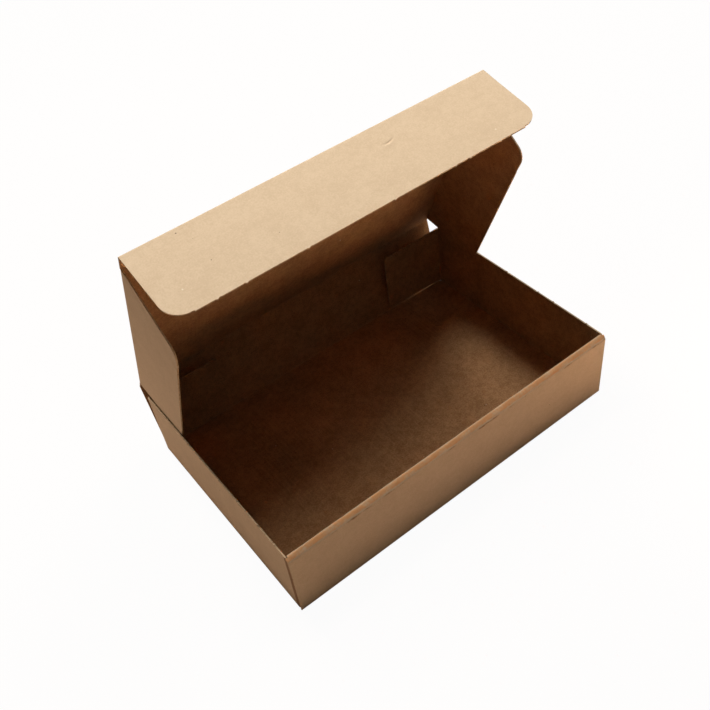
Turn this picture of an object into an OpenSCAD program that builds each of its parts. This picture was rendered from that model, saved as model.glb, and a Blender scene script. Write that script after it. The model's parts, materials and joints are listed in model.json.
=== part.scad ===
// Shallow folding carton of thin kraft board, die-cut and creased from one sheet.
// It stands on its base with the lid part open. The front is towards -Y, the lid
// hinges at the back, and the origin is the middle of the base's underside.

/* [Box] */
// Outer length of the base, left to right
box_l = 153.6; // [110:0.2:240]
// Outer depth of the base, front to back
box_d = 100.6; // [70:0.2:160]
// Height of the two side walls
side_h = 33; // [24:0.5:60]
// Thickness of the board
board = 0.6; // [0.4:0.05:0.8]
// Clearance between board faces that slide past each other
slide_gap = 0.3; // [0.2:0.05:0.5]

/* [Front wall] */
// Clearance between the layers of the rolled-over front wall
layer_gap = 0.32; // [0.1:0.02:0.8]
// How far the rolled top lies below the tops of the side walls
front_drop = 0.25; // [0.1:0.05:1.5]
// Length of each side wall's front flap, held between the two layers
front_flap_l = 26; // [12:1:40]
// Length of each of the two locking tabs
tab_l = 22; // [8:1:30]
// Distance between the middles of the locking tabs
tab_spacing = 76; // [40:1:76]

/* [Back wall and corner flaps] */
// Backward lean of the back wall while the lid stands open, in degrees
back_lean = 11.5; // [0:0.5:25]
// Length of each side wall's back flap
back_flap_l = 31.6; // [15:0.2:50]
// How far a flap's outer end is cut up from its root along the bottom
flap_taper = 4; // [0:0.5:6]
// Corner radius at a flap's outer end
flap_r = 1.5; // [0.5:0.25:3]
// Clearance under a flap, above the floor of the box
flap_floor_gap = 0.5; // [0.3:0.1:2]
// Distance from the top of a back flap to the top of the side wall
flap_top_gap = 0.8; // [0.4:0.1:3]

/* [Lid] */
// Angle of the lid above its closed, level place, in degrees
lid_open = 66.5; // [30:0.5:110]
// Height of the closed lid's underside above the side walls
lid_gap = 0.3; // [0.2:0.05:1]
// Clearance between the front wall and the tuck flap's fold with the lid closed
tuck_gap = 0.2; // [0.15:0.05:0.6]

/* [Tuck flap] */
// Angle of the tuck flap from the lid's plane, in degrees
tuck_fold = 81; // [60:0.5:95]
// Clearance under the tuck flap with the lid closed
tuck_floor_gap = 1.7; // [1:0.1:6]
// Corner radius of the tuck flap
tuck_r = 7.2; // [3:0.2:12]
// Step between the rounded corner and the free edge
tuck_step = 0.8; // [0.2:0.1:2]

/* [Lid ears] */
// Clearance under an ear with the lid closed
ear_floor_gap = 1.7; // [1:0.1:8]
// Distance from the lid's front fold to the ear
ear_front_gap = 7; // [4:0.5:20]
// Clearance between an ear and the back flap with the lid closed
ear_back_gap = 1.1; // [0.8:0.1:6]
// Slant of the ear's two end edges, in degrees
ear_slant = 15; // [5:1:25]
// Corner radius at the ear's front
ear_front_r = 6; // [2:0.5:10]
// Corner radius at the ear's back
ear_back_r = 3; // [1:0.5:6]

/* [Hidden] */
$fn = 32;

kraft = [0.76, 0.60, 0.43];
kraft_light = [0.85, 0.71, 0.54];
kraft_mid = [0.68, 0.53, 0.37];
kraft_dark = [0.58, 0.44, 0.30];

// A fold between two moving panels has a round bead on its axis, half a board in
// radius, and the panel that turns starts this far from the axis
bead_r = board / 2;
fold_gap = 0.75 * board;
// A flap that only folds inward turns about its inner face, and starts this far on
crease_gap = 0.2 * board;

// Inner faces of the side walls and of the front panel
side_in = box_l / 2 - board;
front_in = -box_d / 2 + board;

// The front wall is three layers thick at its ends: panel, side flap, inner panel
front_t = 3 * board + 2 * layer_gap;
front_flap_y = front_in + layer_gap;
inner_panel_y = front_flap_y + board + layer_gap;
inner_panel_l = 2 * (side_in - slide_gap);
roll_r = front_t / 2;
roll_y = -box_d / 2 + roll_r;
roll_z = side_h - front_drop - roll_r;

// The flaps on the side walls
flap_low = board + flap_floor_gap;
front_flap_high = roll_z - layer_gap;
back_flap_high = side_h - flap_top_gap;
back_flap_y = box_d / 2 - 2 * board - slide_gap;

// The back wall turns on the base's back crease and carries the lid's hinge
base_axis_y = box_d / 2 - bead_r;
base_axis_z = board / 2;
hinge_h = side_h + lid_gap + bead_r - base_axis_z;
hinge_y = base_axis_y + hinge_h * sin(back_lean);
hinge_z = base_axis_z + hinge_h * cos(back_lean);

// The lid's front fold comes down just behind the front wall
floor_to_lid = side_h + lid_gap - board;
lid_half = side_in - slide_gap;
lid_l = base_axis_y - (-box_d / 2 + front_t + tuck_gap + bead_r);
tuck_w = floor_to_lid + bead_r - tuck_floor_gap;

// The ears turn about the inner edges of the lid's side creases
ear_x = lid_half - board;
ear_w = floor_to_lid - ear_floor_gap;
ear_back = base_axis_y - back_flap_y + ear_back_gap;

// Points of the arc that rounds the corner b between a and c
function unit(v) = v / norm(v);
function arc_points(a, b, c, r, steps = 8) =
    let (
        p = unit(a - b),
        q = unit(c - b),
        half = acos(p * q) / 2,
        middle = b + unit(p + q) * r / sin(half),
        first = b + p * r / tan(half) - middle,
        last = b + q * r / tan(half) - middle,
        start = atan2(first.y, first.x),
        turn = (180 - 2 * half) * sign(first.x * last.y - first.y * last.x)
    )
    [for (i = [0:steps]) middle + r * [cos(start + turn * i / steps), sin(start + turn * i / steps)]];

// An outline whose corners are rounded by the radii given with them
function rounded(points, radii) =
    let (n = len(points))
    [for (i = [0:n - 1]) each radii[i] == 0
        ? [points[i]]
        : arc_points(points[(i + n - 1) % n], points[i], points[(i + 1) % n], radii[i])];

// Carries a section drawn in Y and Z along X
module along_x(length) {
    rotate([90, 0, 90]) linear_extrude(length, center = true) children();
}

// Quarter of a disc in the first quadrant
module quarter(r) {
    intersection() {
        circle(r);
        square(r);
    }
}

// The outer side of a crease between two faces at right angles, as a quarter round
module crease_round(length) {
    linear_extrude(length) quarter(board);
}

// The round bead on the axis of a fold between two moving panels
module bead(length) {
    rotate([0, 90, 0]) cylinder(r = bead_r, h = length, center = true);
}

// A flap on the right side wall, upright, its root at the wall's inner face.
// It reaches towards -X and its thickness is towards +Y.
module side_flap(length, high, root_gap) {
    outline = rounded(
        [
            [-root_gap, flap_low],
            [-root_gap, high],
            [-length, high],
            [-length, flap_low + flap_taper]
        ],
        [0, 0, flap_r, flap_r]
    );
    translate([side_in, board, 0])
        rotate([90, 0, 0]) linear_extrude(board) polygon(outline);
}

// One side wall with its bottom crease and its front flap, on the right
module side_wall() {
    wall_y = front_flap_y + board;
    wall_l = back_flap_y - wall_y;
    translate([side_in, wall_y, board]) cube([board, wall_l, side_h - board]);
    translate([side_in, back_flap_y, board]) rotate([90, 0, 0]) mirror([0, 1, 0])
        crease_round(wall_l);
    translate([side_in, wall_y, flap_low]) mirror([0, 1, 0])
        crease_round(front_flap_high - flap_low);
    translate([side_in, back_flap_y, flap_low])
        crease_round(back_flap_high - flap_low);
    translate([0, front_flap_y, 0])
        side_flap(front_flap_l, front_flap_high, 0);
}

// Section of the front panel with its bottom crease
module front_section() {
    translate([front_in, board]) rotate(180) quarter(board);
    translate([-box_d / 2, board]) square([board, roll_z - board]);
}

// Section of the rolled top, a half ring
module roll_section() {
    translate([roll_y, roll_z]) difference() {
        circle(roll_r);
        circle(roll_r - board);
        translate([-front_t, -2 * front_t]) square(2 * front_t);
    }
}

// The two locking tabs, or the slots that take them when grown by a clearance
module tabs(clearance, low, high) {
    for (x = [-tab_spacing / 2, tab_spacing / 2])
        translate([x - tab_l / 2 - clearance, inner_panel_y - clearance, low])
            cube([tab_l + 2 * clearance, board + 2 * clearance, high - low]);
}

module tray() {
    color(kraft) {
        difference() {
            translate([-side_in, front_in, 0]) cube([2 * side_in, base_axis_y - front_in, board]);
            tabs(slide_gap, -board, 2 * board);
        }
        translate([0, base_axis_y, base_axis_z]) bead(2 * side_in);
        side_wall();
        mirror([1, 0, 0]) side_wall();
        along_x(box_l) front_section();
        along_x(inner_panel_l) roll_section();
        translate([-inner_panel_l / 2, inner_panel_y, board + slide_gap])
            cube([inner_panel_l, board, roll_z - board - slide_gap]);
        tabs(0, 0, board + 2 * slide_gap);
    }
}

module back_wall() {
    color(kraft_mid)
        translate([0, base_axis_y, base_axis_z]) rotate([-back_lean, 0, 0]) {
            translate([-side_in, -board / 2, fold_gap]) cube([2 * side_in, board, hinge_h - fold_gap]);
            translate([0, 0, hinge_h]) bead(2 * side_in);
        }
}

// The right back flap, folded square to its side wall
module back_flap() {
    translate([0, back_flap_y, 0])
        side_flap(back_flap_l, back_flap_high, crease_gap);
}

// Carries the closed, level lid to its open place: the hinge line is the X axis,
// and the lid lies towards -Y with the board's middle at Z = 0
module at_lid() {
    translate([0, hinge_y, hinge_z]) rotate([-lid_open, 0, 0]) children();
}

module lid_panel() {
    color(kraft_mid) at_lid() {
        translate([-ear_x, -lid_l, -board / 2]) cube([2 * ear_x, lid_l - fold_gap, board]);
        translate([0, -lid_l, 0]) bead(2 * ear_x);
        for (side = [0, 1]) mirror([side, 0, 0])
            translate([ear_x, -fold_gap, -board / 2]) rotate([90, 0, 0])
                crease_round(lid_l - fold_gap);
    }
}

module tuck_flap() {
    step_x = lid_half - tuck_r - tuck_step;
    corner_w = tuck_w - tuck_step;
    outline = rounded(
        [
            [lid_half, -fold_gap],
            [-lid_half, -fold_gap],
            [-lid_half, -corner_w],
            [-step_x, -corner_w],
            [-step_x, -tuck_w],
            [step_x, -tuck_w],
            [step_x, -corner_w],
            [lid_half, -corner_w]
        ],
        [0, 0, tuck_r, 0, 0, 0, 0, tuck_r]
    );
    color(kraft_light) at_lid()
        translate([0, -lid_l, 0]) rotate([tuck_fold, 0, 0]) translate([0, 0, -board / 2])
            linear_extrude(board) polygon(outline);
}

// The right ear, square to the lid and just inside the side wall.
// Both of its ends slant, so it is shorter at its free edge.
module ear() {
    slant = ear_w * tan(ear_slant);
    root = -board / 2 - crease_gap;
    low = -board / 2 - ear_w;
    outline = rounded(
        [
            [-ear_back, root],
            [-ear_back - slant, low],
            [-lid_l + ear_front_gap + slant, low],
            [-lid_l + ear_front_gap, root]
        ],
        [0, ear_back_r, ear_front_r, 0]
    );
    at_lid()
        translate([ear_x, 0, 0]) rotate([90, 0, 90]) linear_extrude(board) polygon(outline);
}

module left_ear() {
    color(kraft) mirror([1, 0, 0]) ear();
}

module right_ear() {
    color(kraft_dark) ear();
}

module left_back_flap() {
    color(kraft_dark) mirror([1, 0, 0]) back_flap();
}

module right_back_flap() {
    color(kraft_dark) back_flap();
}

tray();
back_wall();
lid_panel();
tuck_flap();
left_ear();
right_ear();
left_back_flap();
right_back_flap();
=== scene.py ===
"""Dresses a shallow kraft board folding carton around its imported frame.

The carton is one die-cut sheet. Each panel and each crease here is a board surface
worked out on a grid, with its place on the flat blank kept as a UV map, so that the
fibres and the flutes follow the board round every fold. All lengths are in metres.
"""

import json
import logging
import math
from collections.abc import Callable
from dataclasses import dataclass, field
from enum import Enum, IntEnum

import bpy
import numpy as np
from mathutils import Matrix, Vector


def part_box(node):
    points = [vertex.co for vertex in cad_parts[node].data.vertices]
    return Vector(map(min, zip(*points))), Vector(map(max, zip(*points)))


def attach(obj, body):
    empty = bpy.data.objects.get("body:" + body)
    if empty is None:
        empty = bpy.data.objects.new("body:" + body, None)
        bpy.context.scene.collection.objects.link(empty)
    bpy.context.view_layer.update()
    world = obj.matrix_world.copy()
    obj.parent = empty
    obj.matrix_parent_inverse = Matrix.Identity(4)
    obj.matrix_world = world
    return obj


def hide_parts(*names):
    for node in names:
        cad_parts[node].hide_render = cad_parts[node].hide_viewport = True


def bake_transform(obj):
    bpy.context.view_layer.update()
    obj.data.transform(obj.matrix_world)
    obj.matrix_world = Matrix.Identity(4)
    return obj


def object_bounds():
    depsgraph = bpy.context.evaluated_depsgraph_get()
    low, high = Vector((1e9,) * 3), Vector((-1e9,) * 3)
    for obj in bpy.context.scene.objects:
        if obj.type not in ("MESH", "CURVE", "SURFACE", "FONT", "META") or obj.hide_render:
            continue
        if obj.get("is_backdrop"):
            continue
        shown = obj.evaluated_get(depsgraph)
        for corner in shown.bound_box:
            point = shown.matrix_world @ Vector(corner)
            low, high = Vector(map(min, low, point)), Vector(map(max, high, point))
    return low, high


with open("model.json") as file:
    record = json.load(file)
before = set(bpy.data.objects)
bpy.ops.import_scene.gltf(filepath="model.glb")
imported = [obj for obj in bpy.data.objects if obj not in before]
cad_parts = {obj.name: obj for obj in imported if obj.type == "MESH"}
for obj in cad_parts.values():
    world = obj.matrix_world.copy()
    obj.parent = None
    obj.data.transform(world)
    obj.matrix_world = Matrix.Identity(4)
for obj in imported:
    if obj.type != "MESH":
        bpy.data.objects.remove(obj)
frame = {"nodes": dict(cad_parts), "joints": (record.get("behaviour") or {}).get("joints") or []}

LOG = logging.getLogger("kraft_carton")
MM = 0.001

FLUTE_PITCH = 1.7 * MM
RULE_WIDTH = 0.35 * MM
RULE_DEPTH = 0.05 * MM
# Distance from the axis of a moving crease to the flat board on either side of it.
STUB = 0.5 * MM
SHARP_ANGLE = math.radians(40)
ROUND_ANGLE = math.radians(50)
ROUND_WIDTH = 0.07 * MM
ROUND_STEPS = 2
# Number of plane waves in an uneven surface, and the spread of their lengths.
WAVE_COUNT = 5
WAVE_SPREAD = (0.7, 1.6)

X = np.array([1.0, 0.0, 0.0])
Y = np.array([0.0, 1.0, 0.0])
Z = np.array([0.0, 0.0, 1.0])


class Face(IntEnum):
    """The three kinds of board surface, in the order of a piece's material slots."""

    OUTER = 0
    INNER = 1
    CUT = 2


class Grain(float, Enum):
    """Scales of the paper's noise, in cycles per millimetre."""

    SLOW = 0.045
    DRIFT = 0.07
    BROAD = 0.12
    MOTTLE = 0.45
    CRUSHED = 0.8
    RUBBED = 0.9
    SMALL = 1.6
    FINE = 5.5


class Border(Enum):
    """The four borders of a board grid."""

    U_START = "u_start"
    U_END = "u_end"
    V_START = "v_start"
    V_END = "v_end"


class Hand(IntEnum):
    """The side of the carton that a mirrored part is on."""

    LEFT = -1
    RIGHT = 1

    @property
    def word(self) -> str:
        """The side as it is written in a piece's name."""
        return self.name.lower()


def unit(v: np.ndarray) -> np.ndarray:
    """A vector scaled to length one."""
    return v / np.linalg.norm(v)


def smooth(t: np.ndarray) -> np.ndarray:
    """A soft step from 0 to 1 as t runs from 0 to 1: three t squared less two t cubed."""
    t = np.clip(t, 0.0, 1.0)
    return t * t * (3.0 - 2.0 * t)


def stations(*stops: float, step: float) -> np.ndarray:
    """Places along a line that include every stop.

    Args:
        stops: Rising places that a grid line has to pass through.
        step: The widest distance between neighbours.

    Returns:
        The stops, with each gap between them divided evenly.
    """
    runs = [
        np.linspace(a, b, max(1, math.ceil((b - a) / step)) + 1)[:-1]
        for a, b in zip(stops[:-1], stops[1:])
    ]
    return np.concatenate([*runs, [stops[-1]]])


def joined(*runs: np.ndarray) -> np.ndarray:
    """The places of several runs, rising and each of them once."""
    return np.unique(np.concatenate(runs))


def around(a: float, b: float, fine: float, step: float, margin: float) -> np.ndarray:
    """Places from a to b that lie closer together near both ends.

    Args:
        a: First place.
        b: Last place.
        fine: Spacing within the margins.
        step: Spacing between them.
        margin: Length of each margin.

    Returns:
        The rising places.
    """
    return joined(
        stations(a, a + margin, step=fine),
        stations(a + margin, b - margin, step=step),
        stations(b - margin, b, step=fine),
    )


def joint_place(name: str) -> np.ndarray:
    """The point on a joint's axis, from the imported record."""
    return np.array(next(j["pos_m"] for j in frame["joints"] if j["name"] == name))


def node_places(node: str) -> np.ndarray:
    """The places of a CAD node's vertices, an array of shape (n, 3)."""
    mesh = frame["nodes"][node].data
    places = np.empty(3 * len(mesh.vertices), np.float32)
    mesh.vertices.foreach_get("co", places)
    return places.reshape(-1, 3)


def reach(node: str, origin: np.ndarray, direction: np.ndarray) -> float:
    """How far a CAD node extends from a point in one direction.

    Args:
        node: Name of the CAD node.
        origin: The point to measure from.
        direction: Unit vector to measure along.

    Returns:
        The largest distance of any of the node's vertices.
    """
    return float(((node_places(node) - origin) @ direction).max())


@dataclass(frozen=True)
class Plan:
    """The carton's driving sizes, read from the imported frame.

    Lengths in metres. The base's underside is at Z = 0 and the front is towards -Y.

    Attributes:
        board: Thickness of the board.
        half_l: Half the carton's length.
        half_d: Distance from the middle to the front wall's face.
        wall_top: Top of the side walls.
        flap_low: Lower edge of the corner flaps.
        back_flap_top: Upper edge of the back flaps.
        back_flap_y: Front face of the back flaps.
        back_flap_end: Where the right back flap's outer end lies along X.
        lid_half: Half the lid's length.
        base_axis: A point on the axis of the crease below the back wall.
        lid_axis: A point on the axis of the crease above it.
        tuck_axis: A point on the axis of the lid's front crease.
        layer_gap: Gap between two layers of the front wall.
        front_drop: How far the rolled front lies below the side walls' tops.
    """

    board: float
    half_l: float
    half_d: float
    wall_top: float
    flap_low: float
    back_flap_top: float
    back_flap_y: float
    back_flap_end: float
    lid_half: float
    base_axis: np.ndarray
    lid_axis: np.ndarray
    tuck_axis: np.ndarray
    layer_gap: float = 0.32 * MM
    front_drop: float = 0.25 * MM

    @classmethod
    def from_frame(cls) -> "Plan":
        """Reads the sizes from the nodes' boxes and the joints."""
        tray_low, tray_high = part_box("tray")
        flap_low, flap_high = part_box("right_back_flap")
        return cls(
            board=flap_high.y - flap_low.y,
            half_l=tray_high.x,
            half_d=-tray_low.y,
            wall_top=tray_high.z,
            flap_low=flap_low.z,
            back_flap_top=flap_high.z,
            back_flap_y=flap_low.y,
            back_flap_end=flap_low.x,
            lid_half=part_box("tuck_flap")[1].x,
            base_axis=joint_place("back_wall_tilt"),
            lid_axis=joint_place("lid_hinge"),
            tuck_axis=joint_place("tuck_fold"),
        )

    @property
    def half_board(self) -> float:
        """Half the board's thickness."""
        return self.board / 2

    @property
    def side_in(self) -> float:
        """Distance from the middle to a side wall's inner face."""
        return self.half_l - self.board

    @property
    def front_t(self) -> float:
        """Thickness of the rolled-over front wall."""
        return 3 * self.board + 2 * self.layer_gap

    @property
    def front_flap_y(self) -> float:
        """Front face of the side walls' front flaps."""
        return -self.half_d + self.board + self.layer_gap

    @property
    def wall_front_y(self) -> float:
        """Where a side wall's flat part starts behind its front crease."""
        return self.front_flap_y + self.board

    @property
    def roll_z(self) -> float:
        """Height of the centre of the rolled top."""
        return self.wall_top - self.front_drop - self.front_t / 2

    @property
    def wall_away(self) -> np.ndarray:
        """Direction up the back wall."""
        return unit(self.lid_axis - self.base_axis)

    @property
    def lid_away(self) -> np.ndarray:
        """Direction along the lid, away from its hinge."""
        return unit(self.tuck_axis - self.lid_axis)

    @property
    def lid_outer(self) -> np.ndarray:
        """Direction out of the lid's outer face."""
        return np.cross(X, -self.lid_away)

    @property
    def wall_l(self) -> float:
        """Distance from the base's back crease to the lid's hinge."""
        return float(np.linalg.norm(self.lid_axis - self.base_axis))

    @property
    def lid_l(self) -> float:
        """Distance from the lid's hinge to its front fold."""
        return float(np.linalg.norm(self.tuck_axis - self.lid_axis))


@dataclass(frozen=True)
class Move:
    """One part of a bent line.

    Attributes:
        length: Its length.
        turn: The angle that it turns through.
        parts: How many steps it is drawn in.
    """

    length: float
    turn: float = 0.0
    parts: int = 1


def bent_line(
    start: tuple[float, float], heading: float, moves: list[Move]
) -> tuple[np.ndarray, np.ndarray, np.ndarray]:
    """A line made of straight runs and arcs.

    A move of length l that turns through a has the chord s sinc(a s / 2 l) at the
    heading plus a s / 2 l, which holds for an arc and for a straight run.

    Args:
        start: First point.
        heading: First heading, in radians from the first axis.
        moves: The parts in order.

    Returns:
        Points, headings and distances along the line.
    """
    points, headings, distances = [np.array([start])], [np.array([heading])], [np.zeros(1)]
    for move in moves:
        s = np.linspace(0.0, move.length, move.parts + 1)[1:]
        half = move.turn / move.length * s / 2
        chord = s * np.sinc(half / np.pi)
        way = headings[-1][-1] + half
        step = np.stack([np.cos(way), np.sin(way)], 1) * chord[:, None]
        points.append(points[-1][-1] + step)
        headings.append(headings[-1][-1] + 2 * half)
        distances.append(distances[-1][-1] + s)
    return np.concatenate(points), np.concatenate(headings), np.concatenate(distances)


@dataclass
class Sheet:
    """A piece of board on a grid, with a thickness and cut or folded borders.

    Attributes:
        mid: Middle surface, an array of shape (n, m, 3).
        outward: Unit vector towards the outer liner, one for all points or one for each.
        blank: The two coordinates of each point on the flat blank.
        board: Thickness.
        present: Which cells of the grid are board, of shape (n - 1, m - 1).
        folds: Borders where the board runs on into another piece.
        outer_relief: How far the outer face stands proud.
        inner_relief: How far the inner face stands proud.
        worn: Wear of each point, above 0 where it is rubbed and below 0 where it is painted
            darker, as crushed board and as shade in creases.
    """

    mid: np.ndarray
    outward: np.ndarray
    blank: tuple[np.ndarray, np.ndarray]
    board: float
    present: np.ndarray | None = None
    folds: frozenset = frozenset()
    outer_relief: np.ndarray | float = 0.0
    inner_relief: np.ndarray | float = 0.0
    worn: np.ndarray | float = 0.0

    def __post_init__(self) -> None:
        """Fills the defaults, and turns the grid so that U cross V is outward."""
        n, m = self.mid.shape[:2]
        if self.present is None:
            self.present = np.ones((n - 1, m - 1), bool)
        self.outward = np.broadcast_to(self.outward, self.mid.shape)
        self.blank = np.stack([np.broadcast_to(place, (n, m)) for place in self.blank], -1)
        for name in ("outer_relief", "inner_relief", "worn"):
            setattr(self, name, np.broadcast_to(getattr(self, name), (n, m)))
        along_u = self.mid[1:, :-1] - self.mid[:-1, :-1]
        along_v = self.mid[:-1, 1:] - self.mid[:-1, :-1]
        facing = np.einsum("ijk,ijk->ij", np.cross(along_u, along_v), self.outward[:-1, :-1])
        if facing.sum() < 0:
            for name, value in vars(self).items():
                if isinstance(value, np.ndarray):
                    setattr(self, name, value[:, ::-1])
            swap = {Border.V_START: Border.V_END, Border.V_END: Border.V_START}
            self.folds = frozenset(swap.get(b, b) for b in self.folds)

    def _faces(self) -> tuple[np.ndarray, np.ndarray]:
        """The quads of the closed board, and which kind of surface each one is.

        The outer quads run round each cell, the inner ones run the other way, and a
        border quad joins the two wherever a cell has no neighbour. A border that is a
        fold counts as outer liner, so that no cut edge shows in a crease.
        """
        n, m = self.mid.shape[:2]
        index = np.arange(n * m).reshape(n, m)
        corners = np.stack([index[:-1, :-1], index[1:, :-1], index[1:, 1:], index[:-1, 1:]], -1)
        outer = corners[self.present]
        inner = outer[:, ::-1] + n * m
        padded = np.pad(self.present, 1)
        sides = (
            (0, 1, padded[1:-1, :-2], Border.V_START, np.s_[:, 0]),
            (1, 2, padded[2:, 1:-1], Border.U_END, np.s_[-1, :]),
            (2, 3, padded[1:-1, 2:], Border.V_END, np.s_[:, -1]),
            (3, 0, padded[:-2, 1:-1], Border.U_START, np.s_[0, :]),
        )
        quads = [outer, inner]
        kinds = [np.full(len(outer), Face.OUTER), np.full(len(inner), Face.INNER)]
        for a, b, neighbour, border, cells in sides:
            edge = self.present & ~neighbour
            first, second = corners[..., a][edge], corners[..., b][edge]
            quads.append(np.stack([second, first, first + n * m, second + n * m], 1))
            at_border = np.zeros_like(edge)
            at_border[cells] = border in self.folds
            kinds.append(np.where(at_border[edge], Face.OUTER, Face.CUT))
        return np.concatenate(quads), np.concatenate(kinds)

    def to_object(self, name: str, finishes: "Finishes", rounded: bool = True) -> bpy.types.Object:
        """Makes the closed board as an object of the scene.

        Args:
            name: Name of the piece.
            finishes: Materials for the outer, inner and cut surfaces.
            rounded: Whether its edges get a small round.

        Returns:
            The object, linked to the scene, its place in its mesh.
        """
        half = self.board / 2
        outer = self.mid + self.outward * (half + self.outer_relief)[..., None]
        inner = self.mid - self.outward * (half + self.inner_relief)[..., None]
        places = np.concatenate([outer.reshape(-1, 3), inner.reshape(-1, 3)])
        blank = np.tile(self.blank.reshape(-1, 2), (2, 1))
        across = np.repeat([1.0, -1.0], len(places) // 2)
        worn = np.tile(self.worn.ravel(), 2)
        quads, kinds = self._faces()
        used, quads = np.unique(quads, return_inverse=True)
        quads = quads.reshape(-1, 4)
        mesh = bpy.data.meshes.new(name)
        mesh.from_pydata(places[used], [], quads)
        mesh.polygons.foreach_set("material_index", kinds.astype(np.int32))
        mesh.polygons.foreach_set("use_smooth", np.ones(len(quads), bool))
        corner = used[quads.ravel()]
        place_map = mesh.uv_layers.new(name="blank")
        place_map.uv.foreach_set("vector", blank[corner].astype(np.float32).ravel())
        edge_map = mesh.uv_layers.new(name="edge")
        edge = np.stack([across[corner], worn[corner]], 1)
        edge_map.uv.foreach_set("vector", edge.astype(np.float32).ravel())
        mesh.update()
        mesh.set_sharp_from_angle(angle=SHARP_ANGLE)
        for material in finishes.in_order():
            mesh.materials.append(material)
        piece = bpy.data.objects.new(name, mesh)
        bpy.context.scene.collection.objects.link(piece)
        if rounded:
            bevel = piece.modifiers.new("edge_round", "BEVEL")
            bevel.width = ROUND_WIDTH
            bevel.segments = ROUND_STEPS
            bevel.limit_method = "ANGLE"
            bevel.angle_limit = ROUND_ANGLE
            bevel.use_clamp_overlap = True
        LOG.info("%s: %d quads", name, len(quads))
        return piece


def swept(
    section: tuple[np.ndarray, np.ndarray],
    axes: tuple[np.ndarray, np.ndarray, np.ndarray],
    low: np.ndarray,
    high: np.ndarray,
    share: np.ndarray,
    side: int,
) -> tuple[np.ndarray, np.ndarray, np.ndarray]:
    """Carries a bent line sideways, between two limits that change along it.

    The point is p1 axis1 + p2 axis2 + w axis3, where w runs from low to high by the
    share, and the outward vector lies at right angles to the line's heading.

    Args:
        section: The line's points and headings.
        axes: The two axes of the line's plane and the axis that it is carried along.
        low: Start of the carried width at each point of the line.
        high: End of it.
        share: Rising shares from 0 to 1.
        side: 1 where the outer liner is on the left of the heading, -1 on the right.

    Returns:
        The middle surface, the outward vectors and the carried places.
    """
    points, headings = section
    wide = low[:, None] + (high - low)[:, None] * share[None, :]
    line = points[:, :1] * axes[0] + points[:, 1:] * axes[1]
    mid = line[:, None, :] + wide[..., None] * axes[2]
    out = side * (-np.sin(headings)[:, None] * axes[0] + np.cos(headings)[:, None] * axes[1])
    return mid, out[:, None, :], wide


@dataclass(frozen=True)
class Nicks:
    """Small teeth and notches that the cutting die leaves along an edge.

    Attributes:
        places: Where each nick is along the edge.
        height: How far a tooth stands out.
        width: Width of a tooth.
        notch_place: Distance from a tooth to its notch, as a share of the width.
        notch_depth: Depth of the notch, as a share of the height.
    """

    places: tuple[float, ...]
    height: float = 0.32 * MM
    width: float = 0.9 * MM
    notch_place: float = 0.9
    notch_depth: float = 0.5

    def at(self, x: np.ndarray) -> np.ndarray:
        """How far the edge stands out at each place along it.

        A tooth is a flat-topped bump, exp(-(2 d / width)^4), with a shallow notch of
        the same form beside it. Every other nick is turned round.
        """
        d = x[:, None] - np.array(self.places)[None, :]
        turn = np.where(np.arange(len(self.places)) % 2, 1.0, -1.0)
        tooth = np.exp(-((2 * d / self.width) ** 4))
        beside = d + turn * self.notch_place * self.width
        notch = np.exp(-((2 * beside / self.width) ** 4))
        return self.height * (tooth - self.notch_depth * notch).sum(1)


def bell(d: np.ndarray, width: float) -> np.ndarray:
    """A soft bump around zero: exp(-(d / width)^2)."""
    return np.exp(-((d / width) ** 2))


def press(d: np.ndarray, width: float, depth: float) -> np.ndarray:
    """The groove that a creasing rule presses, a bell turned down to its depth."""
    return -depth * bell(d, width)


def rule(d: np.ndarray, inset: float) -> np.ndarray:
    """The groove beside a fold, at an inset from the panel's border."""
    return press(d - inset, RULE_WIDTH, RULE_DEPTH)


def waves(a: np.ndarray, b: np.ndarray, size: float, seed: int) -> np.ndarray:
    """A slow, shallow unevenness: the mean of five plane waves of mixed direction.

    Args:
        a: First coordinate, in metres.
        b: Second coordinate.
        size: Typical length of a wave.
        seed: Seed of the waves' directions and phases.

    Returns:
        Heights between -1 and 1.
    """
    rng = np.random.default_rng(seed)
    way = rng.uniform(0, math.tau, WAVE_COUNT)
    phase = rng.uniform(0, math.tau, WAVE_COUNT)
    pace = math.tau / (size * rng.uniform(*WAVE_SPREAD, WAVE_COUNT))
    turn = a[..., None] * np.cos(way) * pace + b[..., None] * np.sin(way) * pace
    return np.sin(turn + phase).mean(-1)


def laid(origin: np.ndarray, *parts: tuple[np.ndarray, np.ndarray]) -> np.ndarray:
    """Points that lie at given amounts along given directions.

    Args:
        origin: Where the amounts are measured from.
        parts: Pairs of the amount at each point and the direction that it is along.

    Returns:
        The points.
    """
    places = origin
    for amount, way in parts:
        places = places + amount[..., None] * way
    return places


@dataclass(frozen=True)
class Bow:
    """A slow bow of a panel between the creases that hold it flat.

    Attributes:
        depth: Its greatest depth.
        wave: Typical length of a wave.
        fade: Distance from a crease over which it grows.
        seed: Seed of its waves.
        inward: Whether only the waves that go inwards are kept.
        shift: How far the waves are moved inwards, as a share of the depth.
    """

    depth: float
    wave: float
    fade: float
    seed: int
    inward: bool = False
    shift: float = 0.0

    def at(self, a: np.ndarray, b: np.ndarray, *edges: np.ndarray, turn: int = 0) -> np.ndarray:
        """How far the board bows outwards: depth (waves - shift) times a fade per crease.

        Args:
            a: First coordinate of each point.
            b: Second coordinate.
            edges: Distances of each point from the creases.
            turn: Added to the seed, for parts that mirror each other.

        Returns:
            The bow at each point.
        """
        swell = waves(a, b, self.wave, self.seed + turn) - self.shift
        if self.inward:
            swell = np.minimum(swell, 0)
        window = 1.0
        for edge in edges:
            window = window * smooth(edge / self.fade)
        return self.depth * swell * window


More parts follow.
